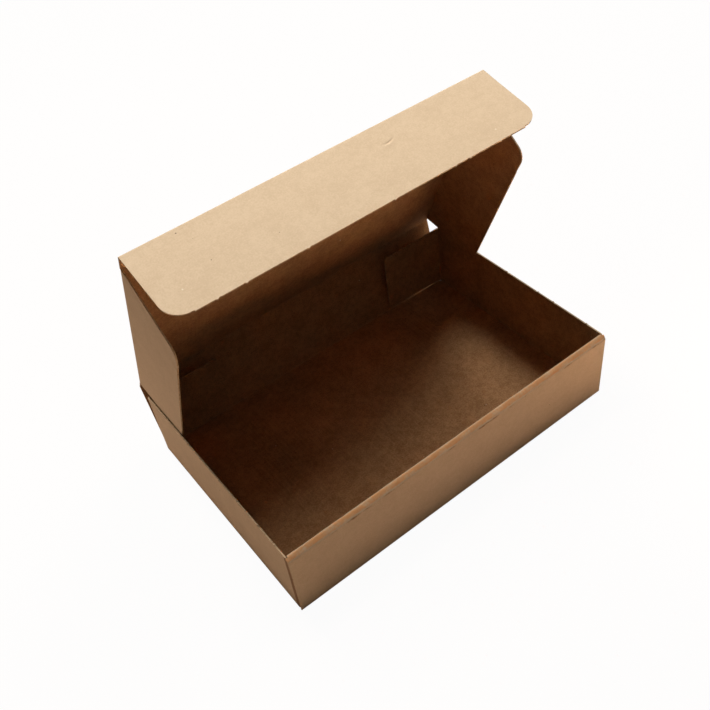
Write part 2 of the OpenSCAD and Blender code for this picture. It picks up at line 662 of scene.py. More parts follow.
@dataclass(frozen=True)
class Wear:
    """Wear along an edge or a crease.

    Attributes:
        amount: Wear at the edge, above 0 for rubbed board and below 0 for board painted darker, as
            crushed board and as crease shade.
        width: Distance over which it fades.
    """

    amount: float
    width: float

    def at(self, d: np.ndarray) -> np.ndarray:
        """The wear at a distance from the edge."""
        return self.amount * bell(d, self.width)


class NodeGraph:
    """Adds and links the nodes of a material or of a node group."""

    def __init__(self, tree: bpy.types.NodeTree) -> None:
        """Starts from an empty tree."""
        self.tree = tree
        tree.nodes.clear()

    def add(self, kind: str, settings: dict | None = None, **inputs: object) -> bpy.types.Node:
        """Adds a node.

        Args:
            kind: The node's type, without its ShaderNode prefix.
            settings: Properties of the node itself.
            inputs: Values or sockets, by input name with underscores, or by in0 for the first.

        Returns:
            The new node.
        """
        node = self.tree.nodes.new("ShaderNode" + kind)
        for key, value in (settings or {}).items():
            setattr(node, key, value)
        for key, value in inputs.items():
            numbered = key[:2] == "in" and key[2:].isdigit()
            slot = node.inputs[int(key[2:]) if numbered else key.replace("_", " ")]
            if isinstance(value, bpy.types.NodeSocket):
                self.tree.links.new(value, slot)
            else:
                slot.default_value = value
        return node

    def maths(self, operation: str, *values: object) -> bpy.types.NodeSocket:
        """The result of a Math node on two or three values."""
        inputs = {f"in{i}": v for i, v in enumerate(values)}
        return self.add("Math", {"operation": operation}, **inputs).outputs[0]

    def in_mm(self, place: bpy.types.NodeSocket) -> bpy.types.NodeSocket:
        """A place given in metres, in millimetres."""
        return self.add("VectorMath", {"operation": "SCALE"}, in0=place, Scale=1 / MM).outputs[0]

    def mix(self, factor: object, a: object, b: object) -> bpy.types.NodeSocket:
        """The colour between a and b by a factor."""
        node = self.add("Mix", {"data_type": "RGBA"}, in0=factor, in6=a, in7=b)
        return node.outputs[2]

    def noise(self, place: object, scale: float, detail: float) -> bpy.types.NodeSocket:
        """A noise value around a half."""
        return self.add("TexNoise", None, Vector=place, Scale=scale, Detail=detail).outputs[0]

    def ramp(self, value: object, low: float, high: float) -> bpy.types.NodeSocket:
        """A soft step of a value between two limits."""
        settings = {"interpolation_type": "SMOOTHSTEP"}
        node = self.add("MapRange", settings, Value=value, From_Min=low, From_Max=high)
        return node.outputs[0]


def new_group(name: str, inputs: dict[str, str], outputs: dict[str, str]) -> tuple:
    """Starts a shader node group.

    Args:
        name: The group's name.
        inputs: Names and socket kinds of its inputs.
        outputs: Names and socket kinds of its outputs.

    Returns:
        The node group, its graph, its input node and its output node.
    """
    tree = bpy.data.node_groups.new(name, "ShaderNodeTree")
    graph = NodeGraph(tree)
    for way, sockets in (("INPUT", inputs), ("OUTPUT", outputs)):
        for label, kind in sockets.items():
            tree.interface.new_socket(label, in_out=way, socket_type="NodeSocket" + kind)
    start = tree.nodes.new("NodeGroupInput")
    end = tree.nodes.new("NodeGroupOutput")
    return tree, graph, start, end


# Turn and offset of each layer of fibres: two pale ones, then a deep one.
FIBRE_LAYERS = ((0.3, 0.0), (-0.5, 40.0), (1.2, 90.0))
FIBRE_STRETCH = (0.55, 6.5, 1)
# Cells per millimetre, share of cells without a speck, and colour, of dark and pale specks.
SPECK_KINDS = ((0.30, 0.90, (0.055, 0.03, 0.015, 1)), (0.24, 0.95, (0.80, 0.70, 0.55, 1)))


def pulp_group() -> bpy.types.NodeTree:
    """Unbleached paper: cloudy formation, stray fibres and specks.

    The clouds mix three sizes of noise, the fibres are noise stretched along two
    directions and cut off near its top, and the specks are the centres of sparse cells.
    """
    tree, graph, start, end = new_group(
        "paper_pulp",
        {
            "Place": "Vector",
            "Base": "Color",
            "Deep": "Color",
            "Pale": "Color",
            "Clouds": "Float",
            "Fibres": "Float",
            "Specks": "Float",
        },
        {"Colour": "Color", "Height": "Float", "Rough": "Float"},
    )
    place = graph.in_mm(start.outputs["Place"])
    labels = ("Deep", "Pale", "Fibres", "Specks")
    deep, pale, fibres, specks = (start.outputs[label] for label in labels)
    broad = graph.noise(place, Grain.BROAD, 2.0)
    mottle = graph.noise(place, Grain.MOTTLE, 3.0)
    small = graph.noise(place, Grain.SMALL, 3.0)
    fine = graph.noise(place, Grain.FINE, 2.0)
    clouds = graph.maths("MULTIPLY_ADD", broad, 0.25, graph.maths("MULTIPLY", small, 0.45))
    clouds = graph.maths("MULTIPLY_ADD", mottle, 0.3, clouds)
    cloudy = graph.mix(graph.ramp(clouds, 0.36, 0.64), deep, pale)
    colour = graph.mix(start.outputs["Clouds"], start.outputs["Base"], cloudy)
    strands = []
    for turn, offset in FIBRE_LAYERS:
        laid = graph.add(
            "Mapping",
            None,
            Vector=place,
            Location=(offset, 0, 0),
            Rotation=(0, 0, turn),
            Scale=FIBRE_STRETCH,
        )
        strands.append(graph.ramp(graph.noise(laid.outputs[0], 1.0, 1.0), 0.64, 0.72))
    pale_strands = graph.maths("MAXIMUM", strands[0], strands[1])
    colour = graph.mix(graph.maths("MULTIPLY", pale_strands, fibres), colour, pale)
    colour = graph.mix(graph.maths("MULTIPLY", strands[2], fibres), colour, deep)
    for scale, bare, tint in SPECK_KINDS:
        cells = graph.add("TexVoronoi", None, Vector=place, Scale=scale)
        chance = graph.add("SeparateColor", None, Color=cells.outputs["Color"])
        kept = graph.maths("GREATER_THAN", chance.outputs[0], bare)
        size = graph.maths("MULTIPLY_ADD", chance.outputs[1], 0.06, 0.03)
        near = graph.maths("LESS_THAN", cells.outputs["Distance"], size)
        spot = graph.maths("MULTIPLY", graph.maths("MULTIPLY", kept, near), specks)
        colour = graph.mix(spot, colour, tint)
    height = graph.maths("MULTIPLY_ADD", fine, 0.5, graph.maths("MULTIPLY", small, 0.35))
    height = graph.maths("MULTIPLY_ADD", pale_strands, 0.15, height)
    rough = graph.maths("MULTIPLY_ADD", fine, 0.25, graph.maths("MULTIPLY", clouds, 0.2))
    graph.tree.links.new(colour, end.inputs["Colour"])
    graph.tree.links.new(height, end.inputs["Height"])
    graph.tree.links.new(rough, end.inputs["Rough"])
    return tree


def flute_group() -> bpy.types.NodeTree:
    """The fine flutes that show through a liner.

    A sine of the place along the box's length, whose strength drifts with a slow noise.
    """
    tree, graph, start, end = new_group(
        "flute_lines",
        {"Place": "Vector", "Pitch": "Float"},
        {"Height": "Float", "Lines": "Float"},
    )
    split = graph.add("SeparateXYZ", None, Vector=start.outputs["Place"])
    place = graph.in_mm(start.outputs["Place"])
    drift = graph.noise(place, Grain.DRIFT, 2.0)
    turns = graph.maths("DIVIDE", split.outputs[0], start.outputs["Pitch"])
    turns = graph.maths("MULTIPLY_ADD", drift, 0.6, turns)
    wave = graph.maths("SINE", graph.maths("MULTIPLY", turns, math.tau))
    strength = graph.ramp(graph.noise(place, Grain.SLOW, 1.0), 0.42, 0.62)
    height = graph.maths("MULTIPLY", wave, graph.maths("MULTIPLY_ADD", strength, 0.7, 0.3))
    lines = graph.maths("MULTIPLY", graph.ramp(wave, 0.75, 1.0), strength)
    graph.tree.links.new(height, end.inputs["Height"])
    graph.tree.links.new(lines, end.inputs["Lines"])
    return tree


def rub_group() -> bpy.types.NodeTree:
    """Wear along creases and edges, and painted shade in creases.

    Where the wear is positive there are broken patches of paler, frayed paper, and
    where it is negative the board is painted darker, which stands for crushed
    board and for the shade in creases and seams.
    """
    colours = dict.fromkeys(("Colour", "Frayed", "Crushed"), "Color")
    tree, graph, start, end = new_group(
        "crease_rub",
        {"Place": "Vector", "Worn": "Float", **colours},
        {"Colour": "Color", "Mask": "Float"},
    )
    worn = start.outputs["Worn"]
    patchy = graph.noise(graph.in_mm(start.outputs["Place"]), Grain.RUBBED, 4.0)
    level = graph.maths("ADD", worn, graph.maths("MULTIPLY_ADD", patchy, 0.9, -0.45))
    mask = graph.maths("MULTIPLY", graph.ramp(level, 0.25, 0.95), 0.9)
    colour = graph.mix(mask, start.outputs["Colour"], start.outputs["Frayed"])
    # Painted shade: below 0 the wear darkens the colour, for crushed board and for the shade in
    # creases and seams.
    crush_and_shade_level = graph.maths("MULTIPLY_ADD", worn, -1.0, -0.35)
    crush_and_shade_level = graph.maths("MULTIPLY_ADD", patchy, 0.7, crush_and_shade_level)
    share = graph.maths("MULTIPLY", graph.ramp(crush_and_shade_level, 0.2, 0.8), 0.85)
    colour = graph.mix(share, colour, start.outputs["Crushed"])
    graph.tree.links.new(colour, end.inputs["Colour"])
    graph.tree.links.new(mask, end.inputs["Mask"])
    return tree


class BoardMaterial:
    """The start and the end that all the board's materials share."""

    def __init__(self, name: str) -> None:
        """Starts a material and reads the board's two UV maps.

        Args:
            name: The material's name.
        """
        self.material = bpy.data.materials.new(name)
        self.material.use_nodes = True
        self.graph = NodeGraph(self.material.node_tree)
        maps = [self.graph.add("UVMap", {"uv_map": name}) for name in ("blank", "edge")]
        self.place, edge = (uv.outputs[0] for uv in maps)
        self.across, self.worn, _ = self.graph.add("SeparateXYZ", None, Vector=edge).outputs

    def close(
        self,
        colour: bpy.types.NodeSocket,
        rough: bpy.types.NodeSocket,
        height: bpy.types.NodeSocket,
        relief: float,
        specular: float,
    ) -> bpy.types.Material:
        """Ends the material in a Principled shader.

        Args:
            colour: Base colour.
            rough: Roughness.
            height: Height of the relief, from 0 to 1.
            relief: Depth of the relief.
            specular: Level of the reflection.

        Returns:
            The finished material.
        """
        graph = self.graph
        bump = graph.add("Bump", None, Strength=1.0, Distance=relief, Height=height)
        inputs = {"Base_Color": colour, "Roughness": rough, "Specular_IOR_Level": specular}
        shader = graph.add("BsdfPrincipled", None, Normal=bump.outputs[0], **inputs)
        graph.add("OutputMaterial", None, Surface=shader.outputs[0])
        return self.material


@dataclass(frozen=True)
class LinerFinish:
    """The look of one liner of the board, with colours in linear light.

    Attributes:
        name: The material's name.
        base: Its mean colour.
        deep: The colour of its darker clouds and fibres.
        pale: The colour of its lighter ones.
        frayed: The colour where it is rubbed.
        crushed: The darker colour where the wear is below 0: crushed board, and painted shade in
            creases and seams.
        clouds: Strength of the cloudy formation.
        fibres: Strength of the stray fibres.
        specks: Strength of the specks.
        roughness: Its mean roughness.
        flute_height: Share of the flutes in the relief.
        flute_shade: How much the flute lines darken.
        relief: Depth of the relief.
        rub_roughness: How much rougher it is where it is rubbed.
        specular: Level of its reflection.
    """

    name: str
    base: tuple[float, float, float, float]
    deep: tuple[float, float, float, float]
    pale: tuple[float, float, float, float]
    frayed: tuple[float, float, float, float]
    crushed: tuple[float, float, float, float]
    clouds: float = 0.60
    fibres: float = 0.35
    specks: float = 0.7
    roughness: float = 0.62
    flute_height: float = 0.10
    flute_shade: float = 0.03
    relief: float = 0.035 * MM
    rub_roughness: float = 0.12
    specular: float = 0.35

    def build(self, groups: "Groups") -> bpy.types.Material:
        """Makes the material.

        Args:
            groups: The shared node groups.

        Returns:
            The material.
        """
        board = BoardMaterial(self.name)
        graph, place = board.graph, board.place
        pulp = graph.add(
            "Group",
            {"node_tree": groups.pulp},
            Place=place,
            Base=self.base,
            Deep=self.deep,
            Pale=self.pale,
            Clouds=self.clouds,
            Fibres=self.fibres,
            Specks=self.specks,
        )
        flutes = graph.add("Group", {"node_tree": groups.flutes}, Place=place, Pitch=FLUTE_PITCH)
        shade = graph.maths("MULTIPLY", flutes.outputs["Lines"], self.flute_shade)
        rub = graph.add(
            "Group",
            {"node_tree": groups.rub},
            Place=place,
            Worn=board.worn,
            Colour=graph.mix(shade, pulp.outputs["Colour"], self.deep),
            Frayed=self.frayed,
            Crushed=self.crushed,
        )
        ribs = flutes.outputs["Height"]
        height = graph.maths("MULTIPLY_ADD", ribs, self.flute_height, pulp.outputs["Height"])
        rough = graph.maths("ADD", pulp.outputs["Rough"], self.roughness)
        rough = graph.maths("MULTIPLY_ADD", rub.outputs["Mask"], self.rub_roughness, rough)
        return board.close(rub.outputs["Colour"], rough, height, self.relief, self.specular)


@dataclass(frozen=True)
class CutFinish:
    """The raw cut edge of the board: two liners with the fluted middle between them.

    Attributes:
        name: The material's name.
        liner: Colour of the two liners' edges.
        middle: Colour of the fluted middle.
        hollow: Painted shade in the empty hollows beside it.
        flute_reach: How far the flutes swing, as a share of half the thickness.
        clouds: Strength of the cloudy formation.
        fibres: Strength of the stray fibres.
        roughness: Its mean roughness.
        relief: Depth of the relief.
        specular: Level of its reflection.
    """

    name: str = "raw_cut_edge"
    liner: tuple[float, float, float, float] = (0.60, 0.42, 0.25, 1)
    middle: tuple[float, float, float, float] = (0.47, 0.31, 0.175, 1)
    hollow: tuple[float, float, float, float] = (0.20, 0.12, 0.065, 1)
    flute_reach: float = 0.55
    clouds: float = 0.2
    fibres: float = 0.3
    roughness: float = 0.7
    relief: float = 0.05 * MM
    specular: float = 0.2

    def build(self, groups: "Groups") -> bpy.types.Material:
        """Makes the material.

        The fluted middle is where the distance across the edge is close to a sine of
        the place along the box's length, and the liners are the two outer fifths.
        Between the flutes the core is painted dark, as painted shade in the empty
        hollows.
        Patches of the edge are crushed by the die and show the liner's colour alone.

        Args:
            groups: The shared node groups.

        Returns:
            The material.
        """
        board = BoardMaterial(self.name)
        graph, place = board.graph, board.place
        split = graph.add("SeparateXYZ", None, Vector=place)
        turns = graph.maths("MULTIPLY", split.outputs[0], math.tau / FLUTE_PITCH)
        wave = graph.maths("MULTIPLY", graph.maths("SINE", turns), self.flute_reach)
        off = graph.maths("ABSOLUTE", graph.maths("SUBTRACT", board.across, wave))
        in_flute = graph.maths("SUBTRACT", 1.0, graph.ramp(off, 0.18, 0.42))
        in_liner = graph.ramp(graph.maths("ABSOLUTE", board.across), 0.58, 0.72)
        # Painted shade: between the flutes the core takes the dark colour of the shaded hollows.
        core = graph.mix(in_flute, self.hollow, self.middle)
        colour = graph.mix(in_liner, core, self.liner)
        crushed = graph.ramp(graph.noise(graph.in_mm(place), Grain.CRUSHED, 3.0), 0.3, 0.55)
        colour = graph.mix(graph.maths("MULTIPLY", crushed, 0.8), colour, self.liner)
        pulp = graph.add(
            "Group",
            {"node_tree": groups.pulp},
            Place=place,
            Base=colour,
            Deep=self.middle,
            Pale=self.liner,
            Clouds=self.clouds,
            Fibres=self.fibres,
            Specks=0.0,
        )
        height = graph.maths("MULTIPLY_ADD", in_flute, 0.6, pulp.outputs["Height"])
        rough = graph.maths("ADD", pulp.outputs["Rough"], self.roughness)
        return board.close(pulp.outputs["Colour"], rough, height, self.relief, self.specular)


@dataclass
class Groups:
    """The node groups that the board's materials share.

    Attributes:
        pulp: Colour and relief of the paper.
        flutes: The flutes that show through a liner.
        rub: Wear along creases and edges.
    """

    pulp: bpy.types.NodeTree = field(default_factory=pulp_group)
    flutes: bpy.types.NodeTree = field(default_factory=flute_group)
    rub: bpy.types.NodeTree = field(default_factory=rub_group)


@dataclass
class Finishes:
    """The materials of a piece of board.

    Attributes:
        outer: The outer liner.
        inner: The inner liner.
        cut: The cut edge.
    """

    outer: bpy.types.Material
    inner: bpy.types.Material
    cut: bpy.types.Material

    @classmethod
    def make(cls) -> "Finishes":
        """Builds the three finishes of unbleached kraft board."""
        groups = Groups()
        outer = LinerFinish(
            name="outer_liner",
            base=(0.620, 0.460, 0.300, 1),
            deep=(0.560, 0.405, 0.255, 1),
            pale=(0.680, 0.515, 0.345, 1),
            frayed=(0.68, 0.315, 0.12, 1),
            # Colour for crushed board, and for the painted shade in creases and seams.
            crushed=(0.24, 0.115, 0.05, 1),
        )
        # The inner liner's darker, redder browns are partly its own colour and partly painted
        # shade for the tray's shaded inside.
        inner = LinerFinish(
            name="inner_liner",
            base=(0.400, 0.203, 0.082, 1),
            deep=(0.300, 0.145, 0.057, 1),
            pale=(0.500, 0.272, 0.119, 1),
            frayed=(0.46, 0.28, 0.145, 1),
            crushed=(0.24, 0.125, 0.055, 1),
            clouds=1.0,
            fibres=0.6,
            flute_height=0.4,
            flute_shade=0.22,
            roughness=0.6,
        )
        return cls(outer.build(groups), inner.build(groups), CutFinish().build(groups))

    def in_order(self) -> list[bpy.types.Material]:
        """The materials in the order of the board's kinds of surface."""
        return [self.outer, self.inner, self.cut]


@dataclass
class Tray:
    """The base, the side walls with their front flaps, and the rolled front wall.

    Attributes:
        plan: The carton's sizes.
        finishes: The board's materials.
        bend: Radius of the board's middle in a fixed crease.
        front_flap_l: Length of a front flap, which is held in the front wall.
        taper: How far a flap's outer end is cut up along the bottom.
        tab_l: Length of each locking tab.
        tab_x: Distance from the middle to the middle of a tab.
        slot_gap: Clearance round a tab in its slot.
        corner_r: Radius of the board's middle in the upright front corners.
        strip_start: Lean of the rolled strip at its lower crease, from upright.
        strip_end: Lean of the strip where the tight turn starts.
        crease_r: Radius of the board's middle at the strip's lower crease.
        turn_r: Radius of its middle in the tight turn.
        roll_drop: How far above the strip's crease its crushed line runs.
        wobble: How far that line wanders up and down.
        groove_width: Width of the groove that it leaves.
        groove_depth: Depth of that groove.
        lump_depth: Depth of the lumps in the strip.
        strip_wear: Wear of the strip.
        lump_wear: How much that wear changes with the lumps.
        line_wear: Darker board along the line, partly crushed board and partly painted crease
            shade.
        blotch_wear: How much that darkening changes along the line.
        side_bow: How far a side wall's two ends bow in.
        side_rise: Height over which that bow grows.
        pinch_depth: Depth of the press mark near a side wall's back end.
        pinch_width: Width of that mark.
        pinch_place: Its distance from the back crease.
        base_step: Spacing of the base's grid.
        front_step: Spacing of the front wall's grid.
        base_bow: Bow of the base.
        front_bow: Bow of the front wall.
        base_wear: Rubbing along the base's side creases.
        top_wear: Rubbing along a side wall's top.
        corner_wear: Painted shade: darker board along a side wall's front crease, where the seam
            lies in shade.
        left_nicks: Marks that the die left along the left wall's top.
        right_nicks: Marks that it left along the right wall's top.
    """

    plan: Plan
    finishes: Finishes
    bend: float = 0.35 * MM
    front_flap_l: float = 26 * MM
    taper: float = 4 * MM
    tab_l: float = 22 * MM
    tab_x: float = 38 * MM
    slot_gap: float = 0.3 * MM
    corner_r: float = 1.0 * MM
    strip_start: float = math.radians(25)
    strip_end: float = math.radians(50)
    crease_r: float = 0.5 * MM
    turn_r: float = 0.45 * MM
    roll_drop: float = 0.1 * MM
    wobble: float = 0.3 * MM
    groove_width: float = 0.45 * MM
    groove_depth: float = 0.04 * MM
    lump_depth: float = 0.06 * MM
    strip_wear: float = 0.8
    lump_wear: float = 0.35
    line_wear: Wear = Wear(-0.30, 0.6 * MM)
    blotch_wear: Wear = Wear(-0.7, 0.6 * MM)
    side_bow: float = 0.10 * MM
    side_rise: float = 20 * MM
    pinch_depth: float = 0.08 * MM
    pinch_width: float = 1.3 * MM
    pinch_place: float = 5.5 * MM
    base_step: float = 1.6 * MM
    front_step: float = 0.75 * MM
    base_bow: Bow = Bow(0.10 * MM, 60 * MM, 12 * MM, 3, inward=True)
    front_bow: Bow = Bow(0.10 * MM, 45 * MM, 6 * MM, 5, inward=True)
    base_wear: Wear = Wear(0.5, 0.7 * MM)
    top_wear: Wear = Wear(0.2, 0.6 * MM)
    corner_wear: Wear = Wear(-1.3, 0.9 * MM)
    left_nicks: Nicks = Nicks(
        (-0.0418, -0.0312, -0.0173, -0.0052, 0.0058, 0.0172, 0.0331), 0.5 * MM, 1.2 * MM
    )
    right_nicks: Nicks = Nicks((-0.0405, -0.0225, -0.0140, 0.0045, 0.0240, 0.0385))

    def build(self) -> None:
        """Builds every piece that rides on the tray."""
        base = self.base()
        pieces = [base, self.front_wall()]
        pieces += [self.side_wall(hand) for hand in Hand]
        for piece in pieces:
            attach(piece, "tray")
        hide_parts("tray")

    def _corner(self) -> Move:
        """A quarter turn at a crease."""
        return Move(self.bend * math.pi / 2, math.pi / 2, 6)

    def _tab_ends(self, spare: float = 0.0) -> list[float]:
        """Both ends of both tabs along the front, with a clearance."""
        half = self.tab_l / 2 + spare
        return sorted(s * self.tab_x + t * half for s in (-1, 1) for t in (-1, 1))

    def base(self) -> bpy.types.Object:
        """The base with its two side creases, and the slots that take the tabs.

        The section is a quarter turn, a straight run and a quarter turn, carried from
        the front crease to the back one. The creases stop short at the corner cuts.
        """
        plan = self.plan
        start = (-plan.side_in - plan.half_board, plan.half_board + self.bend)
        flat = plan.side_in - (self.bend - plan.half_board)
        places = stations(-flat, *self._tab_ends(self.slot_gap), flat, step=self.base_step)
        points, headings, _ = bent_line(start, -math.pi / 2, [self._corner()])
        x = np.concatenate([points[:-1, 0], places, -points[-2::-1, 0]])
        flat_z = np.full(len(places), plan.half_board)
        z = np.concatenate([points[:-1, 1], flat_z, points[-2::-1, 1]])
        way = np.concatenate([headings[:-1], np.zeros(len(places)), -headings[-2::-1]])
        in_crease = np.ones(len(x), bool)
        in_crease[len(points) - 1 : 1 - len(points)] = False
        front, back = -plan.half_d + plan.half_board + self.bend, plan.base_axis[1] - STUB
        low = np.where(in_crease, plan.wall_front_y, front)
        high = np.where(in_crease, plan.back_flap_y, back)
        slot_y = self._inner_panel_y() - plan.half_board - self.slot_gap
        slot_end = slot_y + plan.board + 2 * self.slot_gap
        stops = (front, front + 0.25 * MM, slot_y, slot_end, back - 2 * MM, back)
        rows = stations(*stops, step=self.base_step)
        share = (rows - front) / (back - front)
        section = (np.stack([x, z], 1), way)
        mid, outward, wide = swept(section, (X, Z, Y), low, high, share, -1)
        present = np.ones((len(x) - 1, len(rows) - 1), bool)
        cell_x, cell_y = (x[1:] + x[:-1]) / 2, (rows[1:] + rows[:-1]) / 2
        in_slot = np.abs(np.abs(cell_x) - self.tab_x) < self.tab_l / 2 + self.slot_gap
        present &= ~(in_slot[:, None] & ((cell_y > slot_y) & (cell_y < slot_end))[None, :])
        flat_x = np.where(in_crease, plan.side_in + np.abs(z) - plan.half_board, np.abs(x))
        across, along = mid[..., 0], mid[..., 1]
        edge = plan.side_in - np.abs(across)
        bow = self.base_bow.at(across, along, edge, along - front, back - along)
        groove = rule(edge, MM) + rule(along - front, MM)
        sheet = Sheet(
            laid(mid, (bow, outward)),
            outward,
            ((np.sign(x) * flat_x)[:, None], wide),
            plan.board,
            present,
            frozenset(Border),
            inner_relief=np.where(in_crease[:, None], 0, groove),
            worn=self.base_wear.at(edge),
        )
        return sheet.to_object("base_panel", self.finishes)

    def _inner_panel_y(self) -> float:
        """Middle of the front wall's inner panel."""
        return -self.plan.half_d + self.plan.front_t - self.plan.half_board

    def _roll(self) -> tuple[list[Move], float, float]:
        """The rolled top's section: a crushed crease, a leaning strip and a tight turn.

        The strip's length is what is left of the wall's thickness once both turns have
        taken their part. A turn from heading a to b at radius r moves r (cos a - cos b)
        across and r (sin b - sin a) up, with headings measured from straight up.

        Returns:
            The moves, the height from the first crease to the top of the board's
            middle, and the height from the last point to it.
        """
        a, b = self.strip_start, self.strip_end
        mean, half = (a + b) / 2, (b - a) / 2
        fit = math.sin(half) / half
        across = self.plan.front_t - self.plan.board
        across -= self.crease_r * (1 - math.cos(a)) + self.turn_r * (math.cos(b) + 1)
        strip = across / (fit * math.sin(mean))
        rise = self.crease_r * math.sin(a) + strip * fit * math.cos(mean)
        moves = [
            Move(self.crease_r * a, -a, 4),
            Move(strip, -2 * half, 12),
            Move(self.turn_r * (math.pi - b), b - math.pi, 12),
        ]
        return moves, rise + self.turn_r * (1 - math.sin(b)), self.turn_r

    def front_wall(self) -> bpy.types.Object:
        """The front panel, its rolled top and the inner panel with its locking tabs.

        The section turns up from the base, runs up, leans back over the top, turns
        down sharply and runs to the base. The roll and the inner panel are a little
        shorter than the front panel, and below the inner panel only the tabs are board.
        """
        plan = self.plan
        front_y = -plan.half_d + plan.half_board
        low_z = plan.half_board + self.bend
        top_z = plan.wall_top - plan.front_drop - plan.half_board
        tab_top = plan.board + self.slot_gap
        roll, rise, fall = self._roll()
        roll_l = sum(move.length for move in roll)
        up = top_z - rise - low_z
        down = top_z - fall - tab_top
        low_run, high_run = 1.5 * MM, 3.0 * MM
        corner = self._corner()
        moves = [
            Move(corner.length, -corner.turn, corner.parts),
            Move(low_run, 0, 4),
            Move(up - low_run - high_run, 0, 14),
            Move(high_run, 0, 10),
            *roll,
            Move(MM, 0, 3),
            Move(down - MM, 0, 12),
            Move(tab_top - 0.02 * MM, 0, 2),
        ]
        start = (front_y + self.bend, plan.half_board)
        points, headings, along = bent_line(start, math.pi, moves)
        roll_start = corner.length + up
        behind = (along > roll_start) & (points[:, 0] > plan.wall_front_y - 0.1 * MM)
        half = np.where(behind, plan.lid_half, plan.half_l)
        tabs, ends, margin = self._tab_ends(), plan.half_l, 3 * MM
        x = stations(-ends, margin - ends, *tabs, ends - margin, ends, step=self.front_step)
        share = (x + ends) / (2 * ends)
        mid, outward, _ = swept((points, headings), (Y, Z, X), -half, half, share, 1)
        lower = along > along[-1] - tab_top - 0.5 * MM
        for stop, tab in zip(np.searchsorted(x, tabs), tabs):
            mid[lower, stop, 0] = tab
        cell_s, cell_x = (along[1:] + along[:-1]) / 2, (x[1:] + x[:-1]) / 2
        in_tab = np.abs(np.abs(cell_x) - self.tab_x) < self.tab_l / 2
        present = (cell_s < along[-1] - tab_top)[:, None] | in_tab[None, :]
        from_roll = (along - roll_start)[:, None]
        across = mid[..., 0]
        level = 0 * across
        ragged = waves(across, level, 5 * MM, 11) + 0.6 * waves(across, level, 1.7 * MM, 13)
        line = from_roll - self.roll_drop + self.wobble * ragged
        blotch = waves(across, level, 9 * MM, 17)
        lump = waves(across, from_roll * 2, 7 * MM, 12)
        on_roll = smooth(from_roll / MM) * smooth((roll_l - from_roll) / MM)
        bow = -self.lump_depth * np.clip(lump, 0, 1) * on_roll
        bow = bow + self.front_bow.at(across, from_roll, -from_roll, along[:, None] - 2 * MM)
        worn = (self.strip_wear + self.lump_wear * lump) * on_roll
        # Along the crease line the wear drops below 0 and paints the board darker: partly crushed
        # board, partly painted crease shade.
        worn = worn + self.line_wear.at(line) + self.blotch_wear.at(line) * blotch
        sheet = Sheet(
            laid(mid, (bow, outward)),
            outward,
            (across, (front_y + self.bend - along)[:, None]),
            plan.board,
            present,
            frozenset({Border.U_START}),
            outer_relief=press(line, self.groove_width, self.groove_depth),
            worn=worn,
        )
        return sheet.to_object("front_wall_roll", self.finishes)

    def side_wall(self, hand: Hand) -> bpy.types.Object:
        """A side wall with the flap that it tucks into the front wall.

        The section, seen from above, runs along the flap, turns a quarter and runs back
        along the wall. Its lower and upper limits step where the flap becomes the wall,
        and the flap's outer end is cut up along the bottom.
        """
        plan = self.plan
        corner = self.corner_r * math.pi / 2
        flap_run = self.front_flap_l - (self.corner_r - plan.half_board)
        wall_run = plan.back_flap_y - plan.wall_front_y - (self.corner_r - plan.half_board)
        start = (plan.side_in - self.front_flap_l, plan.front_flap_y + plan.half_board)
        moves = [Move(flap_run, 0, 16), Move(corner, math.pi / 2, 6), Move(wall_run, 0, 300)]
        points, headings, along = bent_line(start, 0.0, moves)
        wall_start = flap_run + corner
        in_wall = along > wall_start - 0.34 * corner
        flap_low = plan.flap_low + self.taper * (1 - np.clip(along / flap_run, 0, 1))
        low = np.where(in_wall, plan.half_board + self.bend, flap_low)
        nicks = self.left_nicks if hand is Hand.LEFT else self.right_nicks
        ragged = np.where(in_wall, nicks.at(points[:, 1]) - nicks.height, 0)
        high = np.where(in_wall, plan.wall_top + ragged, plan.roll_z - plan.layer_gap)
        share = around(0, 1, 0.012, 0.055, 0.06)
        mid, outward, wide = swept((points, headings), (X, Y, Z), low, high, share, -1)
        y = mid[..., 1]
        middle = (plan.back_flap_y + plan.wall_front_y) / 2
        run = np.clip((y - middle) / (wall_run / 2), -1, 1)
        lift = smooth((wide - 2 * MM) / self.side_rise) * in_wall[:, None]
        bow = -self.side_bow * run**2 * lift
        pinch = y - plan.back_flap_y + self.pinch_place
        bow = bow + press(pinch, self.pinch_width, self.pinch_depth) * lift
        bow = bow * smooth((plan.back_flap_y - y) / (4 * MM))
        mid = laid(mid, (bow, outward))
        mid[..., 0] *= hand
        outward[..., 0] *= hand
        blank_y = (along - wall_start + plan.wall_front_y)[:, None]
        # Painted shade: the front crease is painted darker, as crushed board, where the seam lies
        # in shade.
        worn = self.corner_wear.at(blank_y - plan.wall_front_y + 0.3 * MM)
        sheet = Sheet(
            mid,
            outward,
            (hand * (plan.side_in + wide), blank_y),
            plan.board,
            folds=frozenset({Border.U_END, Border.V_START}),
            worn=worn + self.top_wear.at(high[:, None] - wide),
        )
        return sheet.to_object(f"{hand.word}_side_wall", self.finishes)


